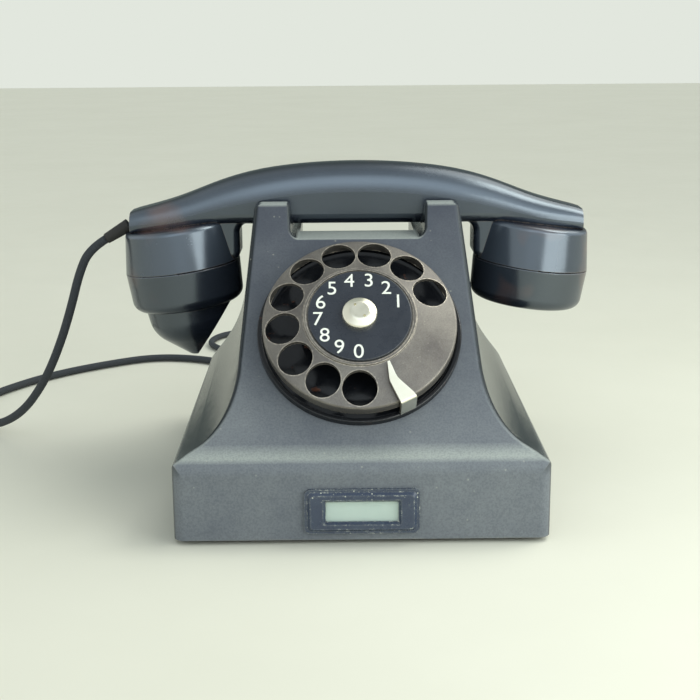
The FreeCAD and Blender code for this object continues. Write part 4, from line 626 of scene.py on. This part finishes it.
def make_metal(name, dark, light, smooth, rough):
    finish, tree, shader = new_finish(name)
    handled = effect(tree, "handling", {"Scale": 90.0})
    wear = effect(tree, "wear", {"Width": 0.0003, "Grain": 1500.0}).outputs["Mask"]
    body = blend_colour(tree, handled.outputs["Cloud"], dark, light)
    shader.inputs["Metallic"].default_value = 1.0
    roughness = ramp(tree, handled.outputs["Cloud"], 0.0, 1.0, smooth, rough)
    colour = blend_colour(tree, math_node(tree, "MULTIPLY", wear, 0.5), body, light)
    connect(tree, shader, colour, roughness, handled.outputs["Grain"], bump=METAL_GRAIN)
    return finish


def make_plain(name, dark, light, smooth, rough, grain=0.15):
    """Rubber, fibre board, lacquer and other plain stuffs."""
    finish, tree, shader = new_finish(name)
    handled = effect(tree, "handling", {"Scale": 70.0})
    colour = blend_colour(tree, handled.outputs["Cloud"], dark, light)
    roughness = ramp(tree, handled.outputs["Cloud"], 0.0, 1.0, smooth, rough)
    connect(tree, shader, colour, roughness, handled.outputs["Grain"], bump=grain)
    return finish


def make_winding():
    """Fine enamelled wire, wound side by side along the piece."""
    finish, tree, shader = new_finish("copper_winding")
    values = {"Vector": own_place(tree), "Scale": 320.0, "Distortion": 0.4}
    wires = add(tree, "TexWave", values, bands_direction="Y").outputs[1]
    colour = blend_colour(tree, wires, seen(96, 44, 26), seen(176, 96, 56))
    roughness = ramp(tree, cloud(tree, 400.0), 0.3, 0.7, 0.3, 0.5)
    connect(tree, shader, colour, roughness, wires, bump=0.5)
    return finish


# %% [markdown]
# The cords are braided: two sets of threads cross at a slant. The map laid on each tube runs round it and
# along it, so two slanting waves, one over the other, follow every bend.

# %% Braid
def make_braid(name, dark, light):
    finish, tree, shader = new_finish(name)
    place = add(tree, "SeparateXYZ", {0: add(tree, "UVMap", uv_map="braid").outputs[0]})
    round_it = math_node(tree, "MULTIPLY", place.outputs[0], 8.0)
    along_it = math_node(tree, "MULTIPLY", place.outputs[1], 1.6)
    threads = []
    for operation in ("ADD", "SUBTRACT"):
        slant = math_node(tree, operation, round_it, along_it)
        wave = math_node(tree, "SINE", math_node(tree, "MULTIPLY", slant, 2 * math.pi))
        threads.append(math_node(tree, "ABSOLUTE", wave))
    height = math_node(tree, "MAXIMUM", *threads)
    fuzz = cloud(tree, 2600.0)
    colour = blend_colour(tree, math_node(tree, "MULTIPLY", height, fuzz), dark, light)
    shader.inputs["Roughness"].default_value = 0.75
    connect(tree, shader, colour, None, height, bump=0.6, depth=0.0003)
    return finish


# %% [markdown]
# Each solid of the frame names the finish it takes, so one table of finishes serves them all.
# The dressed pieces are given theirs one by one, and the numbers have a paint of their own.

# %% Finishes on every piece
FINISHES = {
    "bakelite": make_bakelite(),
    "handset_bakelite": make_handset_resin(),
    "card_frame_plastic": make_frame_plastic(),
    "card_paper": make_card_paper(),
    "clear_window": make_clear_window(),
    "black_enamel": make_black_enamel(),
    "worn_bronze": make_worn_bronze(),
    "number_enamel": make_number_enamel(),
    "nickel": make_metal("bright_nickel", seen(242, 238, 216), seen(252, 248, 232), 0.26, 0.4),
    "plunger_nickel": make_metal("plunger_nickel", seen(176, 174, 166), seen(204, 202, 194), 0.22, 0.36),
    "steel": make_metal("plain_steel", seen(132, 134, 136), seen(164, 166, 168), 0.3, 0.5),
    "brass": make_metal("brass", seen(164, 132, 76), seen(196, 164, 104), 0.24, 0.42),
    "capsule_metal": make_metal("capsule_tin", seen(150, 150, 146), seen(182, 182, 178), 0.3, 0.5),
    "winding": make_winding(),
    "insulator": make_plain("fibre_board", seen(92, 62, 44), seen(120, 84, 60), 0.5, 0.7),
    "rubber": make_plain("black_rubber", seen(34, 34, 34), seen(52, 51, 49), 0.6, 0.8),
    "cord_braid": make_braid("cord_braid", seen(24, 27, 31), seen(74, 80, 87)),
    "tie_tape": make_plain("tie_tape", seen(60, 56, 50), seen(84, 78, 70), 0.75, 0.9, 0.4),
    "plug_plastic": make_plain("plug_moulding", seen(38, 36, 36), seen(56, 53, 52), 0.28, 0.44),
}


def paint(piece, finish):
    piece.data.materials.clear()
    piece.data.materials.append(finish)


for part in frame["record"]["subparts"]:
    paint(nodes[part["node"]], FINISHES[part["material_slot"]])
dressed = [(handset_cord, FINISHES["cord_braid"]), (line_cord, FINISHES["cord_braid"]),
           (tie, FINISHES["tie_tape"]), (dial_numbers, make_number_paint())]
for piece, finish in dressed:
    paint(piece, finish)
print(len(bpy.data.materials), "materials for", len(nodes), "solids and", len(dressed), "dressed pieces")

# %% [markdown]
# A portrait of a dark, glossy thing needs something pale to reflect, so it stands on a plain pale sheet.

# %% Table
TABLE_HALF = 4.0


def make_table_finish():
    finish, tree, shader = new_finish("pale_table")
    colour = blend_colour(tree, cloud(tree, 6.0, 5.0), seen(220, 219, 204), seen(229, 228, 214))
    shader.inputs["Specular IOR Level"].default_value = 0.05
    connect(tree, shader, colour, ramp(tree, cloud(tree, 40.0, 4.0), 0.3, 0.7, 0.45, 0.65))
    return finish


bpy.ops.object.select_all(action="DESELECT")
bpy.ops.mesh.primitive_plane_add(size=2 * TABLE_HALF)
table = bpy.context.object
table.name = "table"
paint(table, make_table_finish())

# %% [markdown]
# The light is soft and comes from the right. A wide sun, from behind and above, gives the shadows.
# A reflector at the front and a window higher up, both on the right, give the glossy shapes their edge.
# The room is pale, with a dim patch overhead, a bright one in front and a dark one behind for the gloss.
# The camera itself sees a plain pale wall.

# %% Light
PALE = seen(226, 231, 222)
DIM_WAY = (0.0, -0.34, 0.94)
FRONT_WAY = (0.0, -0.80, 0.60)
BACK_WAY = (0.0, 0.98, 0.2)
ROOM_TONE = (0.80, 0.84, 0.82, 1.0)
DIM_TONE = (0.46, 0.50, 0.51, 1.0)
FRONT_TONE = (1.35, 1.5, 1.6, 1.0)
BACK_TONE = (0.20, 0.24, 0.22, 1.0)
SUN_WAY = Vector((-0.55, -0.33, -0.77))
SUN_POWER = 0.95
SUN_DISC = math.radians(50)


def area_light(name, place, target, width, height, power, colour):
    bpy.ops.object.light_add(type="AREA", location=place)
    lamp = bpy.context.object
    lamp.name = name
    lamp.data.shape = "RECTANGLE"
    lamp.data.size, lamp.data.size_y = width, height
    lamp.data.energy = power
    lamp.data.color = colour
    lamp.rotation_euler = (Vector(target) - Vector(place)).to_track_quat("-Z", "Y").to_euler()


area_light("reflector", place=(0.335, -0.27, 0.20), target=(0, 0.03, 0.09), width=0.38, height=0.26,
           power=0.9, colour=(0.95, 1.0, 0.97))
area_light("rear_window", place=(0.42, 0.02, 0.62), target=(0.05, 0.03, 0.10), width=0.30, height=0.30,
           power=1.0, colour=(0.96, 1.0, 0.93))
bpy.ops.object.light_add(type="SUN", rotation=SUN_WAY.to_track_quat("-Z", "Y").to_euler())
daylight = bpy.context.object
daylight.data.energy = SUN_POWER
daylight.data.angle = SUN_DISC
daylight.data.color = (1.0, 1.0, 0.94)


def light_the_world():
    world = bpy.data.worlds.new("soft_room")
    bpy.context.scene.world = world
    world.use_nodes = True
    tree = world.node_tree
    sky = tree.nodes["Background"]
    way = add(tree, "TexCoord").outputs["Generated"]
    room = ROOM_TONE
    for towards, low, high, colour in ((DIM_WAY, 0.45, 0.95, DIM_TONE), (FRONT_WAY, 0.86, 0.99, FRONT_TONE),
                                       (BACK_WAY, 0.45, 0.85, BACK_TONE)):
        share = add(tree, "VectorMath", {0: way, 1: towards}, operation="DOT_PRODUCT").outputs["Value"]
        room = blend_colour(tree, ramp(tree, share, low, high, 0.0, 1.0), room, colour)
    tree.links.new(room, sky.inputs["Color"])
    sky.inputs["Strength"].default_value = 1.0
    wall = add(tree, "Background", {"Color": PALE, "Strength": 1.0})
    rays = add(tree, "LightPath").outputs
    seen_rays = math_node(tree, "MAXIMUM", rays["Is Camera Ray"], rays["Is Transmission Ray"])
    both = add(tree, "MixShader", {0: seen_rays, 1: sky.outputs[0], 2: wall.outputs[0]})
    tree.links.new(both.outputs[0], tree.nodes["World Output"].inputs["Surface"])


light_the_world()
